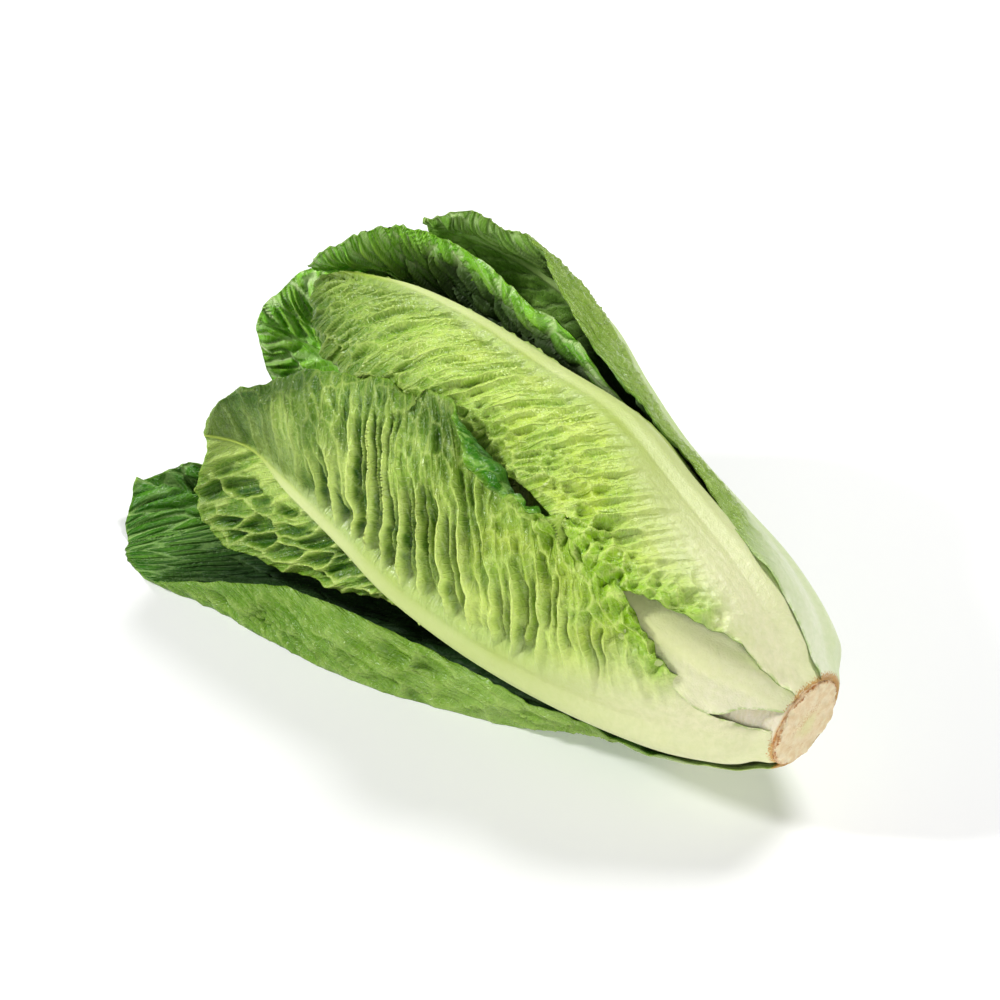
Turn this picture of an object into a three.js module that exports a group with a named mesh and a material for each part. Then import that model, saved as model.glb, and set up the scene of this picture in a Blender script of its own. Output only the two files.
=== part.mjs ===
// A whole head of romaine lettuce lying on its side, cut stem toward +X, leaf tips toward -X.
//
// Millimetres and degrees, +Z up, origin under the middle of the head on the surface it lies on.
// Every leaf is one closed shell. It is laid out in polar coordinates about the head's own axis:
//   along   distance from the cut face toward the leaf tips
//   radius  distance from the axis
//   angle   0 faces the front (-Y), 90 up, 180 the back (+Y), 270 or -90 down
import * as THREE from "three";

// ---- The head -------------------------------------------------------------------------------
const AXIS_RISE = 6; // the axis climbs toward the tips, because the leaves flare under it
const CUT_HEIGHT = 46; // centre of the cut face above the surface
const CUT_RADIUS = 19.5; // trimmed end of the stem
const CUT_TRIM = 1; // the cut face stands this far out of the leaf bases

// ---- Leaf tissue ----------------------------------------------------------------------------
const BLADE = 0.8; // thickness of the blade between the ribs
const RIB_AT_BASE = 3.6; // thickness of the midrib where it joins the stem
const RIB_AT_TIP = 1.4; // and where it runs out
const RIB_HALF_WIDTH = 0.2; // of the way from midrib to edge at the base
const EDGE_BOW = 0.96; // how square the leaf ends are: 0 is a parabola, 1 a half circle

// ---- Mesh fineness --------------------------------------------------------------------------
const OUTER_STEPS = 28; // rows from base to tip of a leaf that shows
const HEART_STEPS = 16; // rows of a leaf folded inside the head
const OUTER_COLUMNS = [0, 0.28, 0.54, 0.76, 0.91, 1]; // from midrib to edge
const HEART_COLUMNS = [0, 0.34, 0.64, 0.87, 1];

const COLOURS = {
  outside: 0x6f9a3c,
  wrapper: 0x8fb552,
  face: 0xa9c862,
  pale: 0xd6dfa0,
  heart: 0xe2e59a,
  stem: 0xe6c9a2,
};

// ---- Leaves that show -----------------------------------------------------------------------
// left, rib and right are lines from base to tip through points of [along, radius, angle]. The
// left edge has the lower angle. A fourth number on an edge swells the blade between it and
// the midrib. wave is the height of the edge's waves and how many there are.
const SHOWING_LEAVES = [
  {
    name: "leaf_bottom_outer",
    colour: COLOURS.outside,
    wave: { height: 1.2, count: 6, phase: 0.4 },
    left: [
      [3, 21, 222], [22, 33, 226], [48, 46, 230], [88, 59, 230], [128, 66.5, 230],
      [172, 73, 228], [215, 79.5, 228], [255, 82, 226], [285, 79, 228], [302, 67, 238],
    ],
    rib: [
      [3, 22, 262], [20, 33, 262], [48, 45.5, 262], [88, 55.5, 262], [128, 61, 262],
      [175, 67, 262], [215, 70, 262], [255, 74, 262], [296, 74, 268], [331, 50, 294],
    ],
    right: [
      [3, 21.5, 312], [20, 34, 316], [46, 44.5, 319], [86, 55, 321, 3], [130, 60.5, 322, 15],
      [182, 69, 328, 25], [226, 79, 327, 29], [255, 93, 325, 22], [290, 108.5, 320, 9], [334, 85, 316, 2],
    ],
  },
  {
    name: "leaf_back_outer",
    colour: COLOURS.wrapper,
    wave: { height: 1.6, count: 7, phase: 1.9 },
    left: [
      [3, 21.5, 104], [16, 30, 113], [33, 41, 114], [54, 48.8, 114], [90, 59.4, 123],
      [126, 70.5, 128], [158, 78, 128], [198, 93, 129], [232, 104, 136], [262, 104, 139], [274, 100, 141],
    ],
    rib: [
      [2.5, 23, 158], [13, 32.5, 158], [30, 42.5, 158], [55, 52.5, 158], [84, 60.5, 158],
      [124, 71.5, 158], [160, 86, 158], [196, 99, 158], [236, 106, 158], [266, 104.5, 158], [289, 95, 155],
    ],
    right: [
      [3, 21.5, 210], [16, 32, 218], [32, 42, 224], [55, 54, 229], [90, 68, 231],
      [125, 78.5, 230.5], [160, 85.5, 229], [200, 91.5, 228], [236, 92.5, 219], [262, 91, 205], [278, 90, 188],
    ],
  },
  {
    name: "leaf_back_upper",
    colour: COLOURS.outside,
    wave: { height: 1.6, count: 7, phase: 0.2 },
    left: [
      [4, 21, 172], [22, 31, 168], [56, 45, 166], [98, 57, 165], [140, 67, 154],
      [180, 79, 134], [220, 85, 133], [260, 88.5, 134], [286, 80, 132], [307, 54, 125],
    ],
    rib: [
      [4, 21, 196], [22, 31.5, 196], [60, 47.5, 196], [100, 59, 196], [140, 68, 196],
      [180, 76, 196], [220, 84, 196], [262, 86, 194], [300, 79, 186], [320, 62, 162],
    ],
    right: [
      [4, 20.5, 218], [24, 31, 220], [60, 44.5, 238], [100, 53.5, 244], [140, 58.5, 244],
      [180, 62.5, 246], [220, 66, 248], [260, 68, 246], [286, 71, 232], [304, 72, 206],
    ],
  },
  {
    name: "leaf_back_lower",
    colour: COLOURS.outside,
    wave: { height: 1.6, count: 7, phase: 2.6 },
    left: [
      [9, 19.5, 186], [30, 29, 182], [70, 41, 176], [114, 52.5, 172], [160, 57.5, 168],
      [205, 61, 166], [250, 60, 160], [286, 57, 150], [316, 52, 147], [330, 50, 148],
    ],
    rib: [
      [9, 19.8, 214], [30, 29.5, 214], [70, 42, 214], [115, 52, 214], [160, 58, 214],
      [205, 61, 214], [250, 60, 214], [292, 53, 211], [324, 42, 206], [341, 22, 198],
    ],
    right: [
      [9, 19.3, 242], [30, 28.5, 258], [70, 39.5, 276], [115, 46.5, 282], [160, 50, 284],
      [205, 52, 282], [250, 52, 274], [290, 49, 262], [316, 43, 250], [334, 34, 242],
    ],
  },
  {
    name: "leaf_front",
    colour: COLOURS.face,
    wave: { height: 1.6, count: 9, phase: 0.9 },
    left: [
      [4, 20.5, -44], [22, 25, -58], [46, 33, -68], [84, 42, -68], [126, 49, -58],
      [172, 57, -43], [212, 68, -36], [250, 75.5, -40], [283, 76, -42], [300, 68, -33],
    ],
    rib: [
      [4, 21.5, -20], [22, 33, -20], [46, 43, -20], [85, 52, -20], [125, 56.5, -20],
      [171, 57, -20], [207, 52, -20], [246, 46.5, -20], [277, 43, -18], [295, 53, -10],
    ],
    right: [
      [3, 21, 18], [20, 28.5, 9], [42, 43, 30], [68, 57, 46, 1], [112, 60, 55, 2],
      [166, 60, 58, 4], [212, 62, 61, 7], [246, 57, 55, 8], [267, 57, 36, 5], [281, 54, 24, 2],
    ],
  },
  {
    name: "leaf_top",
    colour: COLOURS.face,
    wave: { height: 1.6, count: 9, phase: 2.2 },
    left: [
      [5, 22, 66], [14, 31.5, 62], [32, 45.5, 62.5], [52, 56, 54], [84, 62, 53, 1],
      [130, 65.5, 61, 2], [172, 52, 56, 8], [212, 50, 56, 9], [250, 45, 62, 6], [275, 42, 78, 2], [287, 41, 92],
    ],
    rib: [
      [4, 20.5, 115], [17, 27, 115], [35, 38, 115], [54, 46, 115], [88, 56.5, 115],
      [127, 68, 115], [172, 68.5, 115], [214, 68.5, 115], [252, 64.5, 115], [284, 56, 114], [299, 47, 112],
    ],
    right: [
      [4, 20, 152], [17, 25.5, 156], [35, 34, 162], [55, 37, 167], [88, 42, 173],
      [130, 47.5, 173], [170, 49.5, 170], [212, 52, 166], [248, 53, 160], [274, 51, 148], [288, 48, 132],
    ],
  },
  {
    name: "leaf_front_inner",
    colour: COLOURS.pale,
    wave: { height: 1.4, count: 7, phase: 1.1 },
    left: [
      [7, 19.5, 44], [12, 24, 28], [24, 30.5, 15], [38, 36, 23], [60, 40, 12],
      [90, 43, -6], [130, 46, -20], [175, 44, -26], [220, 39, -22], [250, 38, -8], [263, 38, 16],
    ],
    rib: [
      [6, 20, 62], [12, 26, 57], [27, 34, 49], [42, 39, 47], [62, 44, 46],
      [92, 48.5, 46], [130, 50.5, 46], [175, 46, 46], [220, 41, 46], [254, 38, 46], [273, 36, 48],
    ],
    right: [
      [6, 19, 80], [13, 23.5, 86], [28, 31, 92], [42, 35, 96], [62, 40, 100],
      [92, 44, 105], [130, 46.5, 110], [175, 47, 112], [220, 44, 106], [250, 41, 96], [262, 38, 78],
    ],
  },
];

// ---- Leaves folded inside the head ----------------------------------------------------------
// Each is set a golden-angle turn from the last, shorter and nearer the axis: [radius at the
// fullest, angle of the midrib, how far its edges wrap each way, tip].
const HEART_LEAVES = [
  [41.5, 262, 64, 290],
  [40, 134, 64, 284],
  [37, 2, 76, 276],
  [33, 222, 78, 264],
  [28, 86, 80, 252],
  [23, 306, 82, 238],
  [17.5, 170, 84, 224],
  [12, 34, 88, 208],
];
const HEART_FIRST_NODE = 14; // lowest leaf base inside the head, along the stem
const HEART_NODE_STEP = 4.6; // next base up the stem
const HEART_FULLEST = 0.42; // of the leaf's length, where its radius is reached
const HEART_TIP_RADIUS = 0.84; // of that radius, at the tip
const HEART_ROWS = [0, 0.05, 0.12, 0.24, 0.42, 0.62, 0.8, 0.93, 1];
const HEART_WAVE = 1; // height of the edge's waves

// ---- The stem inside the leaves, [along, radius] ----------------------------------------------
const STEM_PROFILE = [
  [-CUT_TRIM, 0], [-CUT_TRIM, CUT_RADIUS - 0.8], [-CUT_TRIM + 0.7, CUT_RADIUS], [1.6, CUT_RADIUS + 0.3],
  [2, 16.6], [10, 14.2], [24, 11], [44, 7.2], [60, 4], [63, 0],
];
const STEM_SIDES = 24;

const rise = THREE.MathUtils.degToRad(AXIS_RISE);
const cutCentre = new THREE.Vector3(0, 0, CUT_HEIGHT);
const towardTips = new THREE.Vector3(-Math.cos(rise), 0, Math.sin(rise));
const acrossUp = new THREE.Vector3(Math.sin(rise), 0, Math.cos(rise));
const towardBack = new THREE.Vector3(0, 1, 0);

/** The point at these polar coordinates about the head's axis. */
function headPoint(along, radius, angle) {
  const turn = THREE.MathUtils.degToRad(angle);
  return cutCentre
    .clone()
    .addScaledVector(towardTips, along)
    .addScaledVector(towardBack, -radius * Math.cos(turn))
    .addScaledVector(acrossUp, radius * Math.sin(turn));
}

/** A smooth line through control points of [along, radius, angle]. */
function smoothLine(points) {
  const corners = points.map(([along, radius, angle]) => new THREE.Vector3(along, radius, angle));
  return new THREE.CatmullRomCurve3(corners, false, "catmullrom", 0.5);
}

/** A smooth run of the edges' swell numbers: x for the left edge and y for the right. */
function swellLine(leaf) {
  const pairs = leaf.left.map((point, row) => new THREE.Vector3(point[3] ?? 0, leaf.right[row][3] ?? 0, 0));
  return new THREE.CatmullRomCurve3(pairs, false, "catmullrom", 0.5);
}

/** How far along an edge the end of a leaf has bowed, 0 at the midrib to 1 at the edge. */
function bow(across) {
  return (1 - Math.sqrt(1 - EDGE_BOW * across * across)) / (1 - Math.sqrt(1 - EDGE_BOW));
}

/** Signed columns over the whole width of a leaf, -1 at the left edge to 1 at the right. */
function wholeWidth(columns) {
  return [...columns.slice(1).reverse().map((across) => -across), ...columns];
}

/** The outer face of a leaf as rows of points. */
function outerFace(leaf, steps, columns) {
  const rib = smoothLine(leaf.rib);
  const edges = { left: smoothLine(leaf.left), right: smoothLine(leaf.right) };
  const swells = swellLine(leaf);
  const rows = [];
  for (let step = 0; step <= steps; step += 1) {
    const way = step / steps;
    const middle = rib.getPoint(way);
    const swell = swells.getPoint(way);
    rows.push(
      columns.map((column) => {
        const across = Math.abs(column);
        const edge = (column < 0 ? edges.left : edges.right).getPoint(way);
        const belly = (column < 0 ? swell.x : swell.y) * 4 * (across ** 2 - across ** 4);
        return headPoint(
          THREE.MathUtils.lerp(middle.x, edge.x, bow(across)),
          THREE.MathUtils.lerp(middle.y, edge.y, across ** 2) + belly,
          THREE.MathUtils.lerp(middle.z, edge.z, across),
        );
      }),
    );
  }
  return rows;
}

/** Unit normals that point out of the head, one for each point of a face. */
function outwardNormals(rows) {
  const last = rows.length - 1;
  const side = rows[0].length - 1;
  return rows.map((row, i) =>
    row.map((point, j) => {
      const lengthwise = rows[Math.min(i + 1, last)][j].clone().sub(rows[Math.max(i - 1, 0)][j]);
      const crosswise = row[Math.min(j + 1, side)].clone().sub(row[Math.max(j - 1, 0)]);
      return crosswise.cross(lengthwise).normalize();
    }),
  );
}

/** Lift the edges of a face into waves. */
function waveEdges(rows, columns, wave) {
  const normals = outwardNormals(rows);
  rows.forEach((row, i) => {
    const way = i / (rows.length - 1);
    row.forEach((point, j) => {
      const turn = 2 * Math.PI * wave.count * way + wave.phase + (columns[j] < 0 ? 1.7 : 0);
      const lift = wave.height * columns[j] ** 4 * Math.sin(turn) * Math.sin(Math.PI * way);
      point.addScaledVector(normals[i][j], lift);
    });
  });
}

/** Thickness of a leaf, from its thick midrib to its thin blade. */
function thickness(way, column) {
  const rib = THREE.MathUtils.lerp(RIB_AT_BASE, RIB_AT_TIP, Math.sqrt(way));
  const halfWidth = RIB_HALF_WIDTH * (1.5 - way);
  return BLADE + (rib - BLADE) * Math.exp(-((column / halfWidth) ** 2));
}

/** Join an outer and an inner face of the same rows and columns into one closed shell. */
function closedShell(outer, inner) {
  const rowCount = outer.length;
  const width = outer[0].length;
  const half = rowCount * width;
  const corner = (i, j) => i * width + j;
  const faces = [];
  for (let i = 0; i < rowCount - 1; i += 1) {
    for (let j = 0; j < width - 1; j += 1) {
      const [a, b, c, d] = [corner(i, j), corner(i, j + 1), corner(i + 1, j), corner(i + 1, j + 1)];
      faces.push(a, b, c, b, d, c);
      faces.push(a + half, c + half, b + half, b + half, c + half, d + half);
    }
  }
  const rim = [];
  for (let j = 0; j < width - 1; j += 1) rim.push(corner(0, j));
  for (let i = 0; i < rowCount - 1; i += 1) rim.push(corner(i, width - 1));
  for (let j = width - 1; j > 0; j -= 1) rim.push(corner(rowCount - 1, j));
  for (let i = rowCount - 1; i > 0; i -= 1) rim.push(corner(i, 0));
  rim.forEach((from, k) => {
    const to = rim[(k + 1) % rim.length];
    faces.push(to, from, from + half, to, from + half, to + half);
  });
  const positions = [...outer.flat(), ...inner.flat()].flatMap((point) => point.toArray());
  const geometry = new THREE.BufferGeometry();
  geometry.setAttribute("position", new THREE.Float32BufferAttribute(positions, 3));
  geometry.setIndex(faces);
  geometry.computeVertexNormals();
  return geometry;
}

/** One leaf: a waved shell that is pressed flat where it would sink into the surface. */
function leafMesh(leaf, steps, halfColumns) {
  const columns = wholeWidth(halfColumns);
  const outer = outerFace(leaf, steps, columns);
  waveEdges(outer, columns, leaf.wave);
  outer.flat().forEach((point) => point.setZ(Math.max(point.z, 0)));
  const normals = outwardNormals(outer);
  const inner = outer.map((row, i) =>
    row.map((point, j) => {
      const depth = thickness(i / steps, columns[j]);
      const under = point.clone().addScaledVector(normals[i][j], -depth);
      return under.setZ(Math.max(under.z, depth));
    }),
  );
  const finish = new THREE.MeshStandardMaterial({ color: leaf.colour, roughness: 0.5, metalness: 0 });
  const mesh = new THREE.Mesh(closedShell(outer, inner), finish);
  mesh.name = leaf.name;
  return mesh;
}

/** Radius of the stem at a place along it. */
function stemRadius(along) {
  const next = STEM_PROFILE.findIndex(([place]) => place > along);
  const [fromPlace, fromRadius] = STEM_PROFILE[next - 1];
  const [toPlace, toRadius] = STEM_PROFILE[next];
  return THREE.MathUtils.mapLinear(along, fromPlace, toPlace, fromRadius, toRadius);
}

/** The outline of one leaf of the heart, worked out from its place in the spiral. */
function heartLeaf([fullRadius, angle, wrap, tip], index) {
  const base = HEART_FIRST_NODE + HEART_NODE_STEP * index;
  const baseRadius = stemRadius(base) + RIB_AT_BASE + 0.6;
  const line = (side) =>
    HEART_ROWS.map((way) => {
      const filling = 1 - Math.max(0, 1 - way / HEART_FULLEST) ** 2;
      const closing = 1 - (1 - HEART_TIP_RADIUS) * Math.max(0, (way - HEART_FULLEST) / (1 - HEART_FULLEST)) ** 2;
      const spread = wrap * (0.55 + 0.45 * Math.sin(Math.PI * Math.min(1, 0.12 + way * 0.9)));
      const shortfall = side === 0 ? 0 : 20 * way ** 6;
      const along = THREE.MathUtils.lerp(base, tip, way) - shortfall;
      const radius = THREE.MathUtils.lerp(baseRadius, fullRadius, filling) * closing;
      return [along, radius, angle + side * spread];
    });
  return {
    name: `leaf_heart_${index + 1}`,
    colour: index < 2 ? COLOURS.pale : COLOURS.heart,
    wave: { height: HEART_WAVE, count: 5, phase: 1.3 * index },
    left: line(-1),
    rib: line(0),
    right: line(1),
  };
}

/** The stem: a cone with a cut face, turned about the head's axis. */
function stemMesh() {
  const outline = STEM_PROFILE.map(([along, radius]) => new THREE.Vector2(radius, along));
  const turned = new THREE.LatheGeometry(outline, STEM_SIDES);
  const finish = new THREE.MeshStandardMaterial({ color: COLOURS.stem, roughness: 0.7, metalness: 0 });
  const mesh = new THREE.Mesh(turned, finish);
  mesh.name = "stem";
  mesh.quaternion.setFromUnitVectors(new THREE.Vector3(0, 1, 0), towardTips);
  mesh.position.copy(cutCentre);
  return mesh;
}

const head = new THREE.Group();
head.add(stemMesh());
SHOWING_LEAVES.forEach((leaf) => head.add(leafMesh(leaf, OUTER_STEPS, OUTER_COLUMNS)));
HEART_LEAVES.map(heartLeaf).forEach((leaf) => head.add(leafMesh(leaf, HEART_STEPS, HEART_COLUMNS)));

// Bring the origin under the middle of the head.
const extent = new THREE.Box3().setFromObject(head, true);
const middle = extent.getCenter(new THREE.Vector3());
head.position.set(-middle.x, -middle.y, 0);

export default head;
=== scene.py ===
"""The looks of a whole romaine lettuce head that lies on its side, built round its CAD frame.

Every leaf is one closed shell laid out in polar places about the head's own axis, as in the CAD:
  along   millimetres from the cut face toward the leaf tips
  radius  millimetres from the axis
  angle   degrees, 0 facing the front (-Y), 90 up, 180 the back (+Y), 270 or -90 down
Meshes are worked out in millimetres and made in metres.
"""

import math
from dataclasses import dataclass, replace

import bpy
import numpy as np
from mathutils import Matrix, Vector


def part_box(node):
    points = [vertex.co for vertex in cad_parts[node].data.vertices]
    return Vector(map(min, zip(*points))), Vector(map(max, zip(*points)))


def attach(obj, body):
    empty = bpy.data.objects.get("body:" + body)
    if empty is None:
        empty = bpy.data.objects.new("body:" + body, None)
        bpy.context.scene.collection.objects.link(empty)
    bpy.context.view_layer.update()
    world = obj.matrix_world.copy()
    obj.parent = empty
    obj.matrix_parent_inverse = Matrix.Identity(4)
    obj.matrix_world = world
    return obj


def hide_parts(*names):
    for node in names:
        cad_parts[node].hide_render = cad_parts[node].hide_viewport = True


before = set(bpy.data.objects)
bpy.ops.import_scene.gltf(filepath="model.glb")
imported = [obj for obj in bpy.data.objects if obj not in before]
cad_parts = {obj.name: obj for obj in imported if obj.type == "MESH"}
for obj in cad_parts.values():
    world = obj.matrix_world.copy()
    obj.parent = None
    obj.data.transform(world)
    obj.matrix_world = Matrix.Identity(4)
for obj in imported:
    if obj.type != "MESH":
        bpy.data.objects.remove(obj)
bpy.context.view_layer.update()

bl_info = {
    "name": "Romaine Lettuce Head",
    "version": (1, 0, 0),
    "blender": (4, 5, 0),
    "location": "View3D > Sidebar > Romaine",
    "description": "Grows the leaves, the heart and the cut stem of a romaine lettuce head",
    "category": "Add Mesh",
}

# ---- The head, as in the CAD ------------------------------------------------------------------
MM = 0.001
AXIS_RISE = math.radians(6)  # the axis climbs toward the tips
CUT_HEIGHT = 46  # centre of the cut face above the surface
CUT_RADIUS = 19.5  # trimmed end of the stem
CUT_TRIM = 1  # the cut face stands this far out of the leaf bases
CUT_BEVEL = 0.8
BLADE = 0.8  # thickness of the blade between the ribs
RIB_AT_BASE = 3.6  # thickness of the midrib where it joins the stem
RIB_AT_TIP = 1.4  # and where it runs out
RIB_HALF_WIDTH = 0.2  # of the way from midrib to edge
EDGE_BOW = 0.96  # how square the leaf ends are: 0 is a parabola, 1 a half circle

# ---- Leaf tissue, beyond the CAD --------------------------------------------------------------
FLESH_AT_BASE = 2.0  # how much thicker a leaf is where it joins the stem
FLESH_REACH = 22  # and how far up that dies away
CORE = 1.4  # how much thicker it is along the midrib's middle
CORE_HALF_WIDTH = 2.6
COARSE_ROOM = 1.1  # keeps a coarse hidden face from coming through the fine one
BASE_REACH = 1.9  # how far the leaves' cut bases come down round the stem
BASE_BLEND = 8  # length over which they do so
PRESSED = 0.8  # share of the relief that the floor presses out
PRESSED_BELOW = 6  # height above the floor where that starts

# ---- Random relief ----------------------------------------------------------------------------
LATTICE = 128  # a table of random numbers repeats after this many
HILL_LAYERS = ((0.5, 1.0, 0.7), (1.9, 0.53, 0.3))  # turn, size and share of each layer of hills

TOWARD_TIPS = np.array([-math.cos(AXIS_RISE), 0, math.sin(AXIS_RISE)])
TOWARD_BACK = np.array([0, 1.0, 0])
ACROSS_UP = np.array([math.sin(AXIS_RISE), 0, math.cos(AXIS_RISE)])


def cut_centre():
    """The middle of the cut face in millimetres, from where the CAD stem is."""
    low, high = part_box("stem")
    past_centre = CUT_TRIM * math.cos(AXIS_RISE) + (CUT_RADIUS - CUT_BEVEL) * math.sin(AXIS_RISE)
    return np.array([high.x / MM - past_centre, (low.y + high.y) / 2 / MM, CUT_HEIGHT])


CUT_CENTRE = cut_centre()


# ---- The leaves -------------------------------------------------------------------------------
@dataclass(frozen=True)
class Leaf:
    """One leaf's outline and how its tissue is puckered. Pairs are (left half, right half)."""

    name: str
    slot: str
    left: tuple  # edge of the lower angle, base to tip, as (along, radius, angle[, swell])
    rib: tuple
    right: tuple
    wave: tuple  # height of the edge's waves, how many, and where they start
    rows: int = 200
    columns: int = 101
    rounding: float = 0.2  # share of the length over which the leaf's end is rounded off
    roundness: float = 0.3  # how round that end is, from 0, square, to 0.5, a half circle
    rolls: tuple = ()  # where an edge rolls outward: (side, from way, to way, width, degrees)
    lean: tuple = (1.0, 1.0)  # how far a side vein climbs tipward for each millimetre out
    curl: tuple = (0.005, 0.005)  # how much more it leans with every millimetre
    vein_gap: tuple = (9.0, 9.0)  # between side veins, along the midrib
    pleat: tuple = (0.8, 0.8)  # how deep the blade folds between the side veins
    pleat_width: tuple = (2.2, 2.2)  # half width of the rounded crest along a side vein
    wrinkle: tuple = (1.4, 1.4)  # how deep it wrinkles along them, less evenly
    wrinkle_width: tuple = (7.0, 7.0)
    wrinkle_length: tuple = (26.0, 26.0)
    pouch: tuple = (1.4, 1.4)  # how deep it bags out in rounder pouches
    pouch_width: tuple = (7.0, 7.0)  # size of a pouch across the side veins
    pouch_length: tuple = (10.0, 10.0)  # and along them
    pouches_from: tuple = (0.5, 0.5)  # share of the half width past which pouches take over
    keel: tuple = (4.0, 0.9)  # how proud the midrib stands, at base and tip
    keel_width: tuple = (13.0, 1.4)  # half its width, at base and tip
    petiole: tuple = (34.0, 80.0)  # half width of the pale base, and how far it reaches
    frill: tuple = (1.2, 12.0)  # height and length of the edge's fine frills
    shade: tuple = (0.8, 0.8)  # how dark the blade is painted in its folds, as shade
    dusk: tuple = (0.4, 0.4)  # and round its tip
    lace: tuple = (0, 0, 1)  # a crinkled stretch of edge: side (-1 left, 1 right), from and to
    dark_from: float = 0.86  # share of the length below which the inner face is painted dark, as shade deep in the head
    smooth_from: float = 1.0  # share of the length past which the blade has no pleats
    sway: float = 1.6  # height of the blade's broad bends
    green: str = "face"
    seed: int = 1
    backing: int = 1  # the hidden face has one row and column for this many of the other's
    fine_inside: bool = False  # whether the face that shows is the inner one


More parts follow.
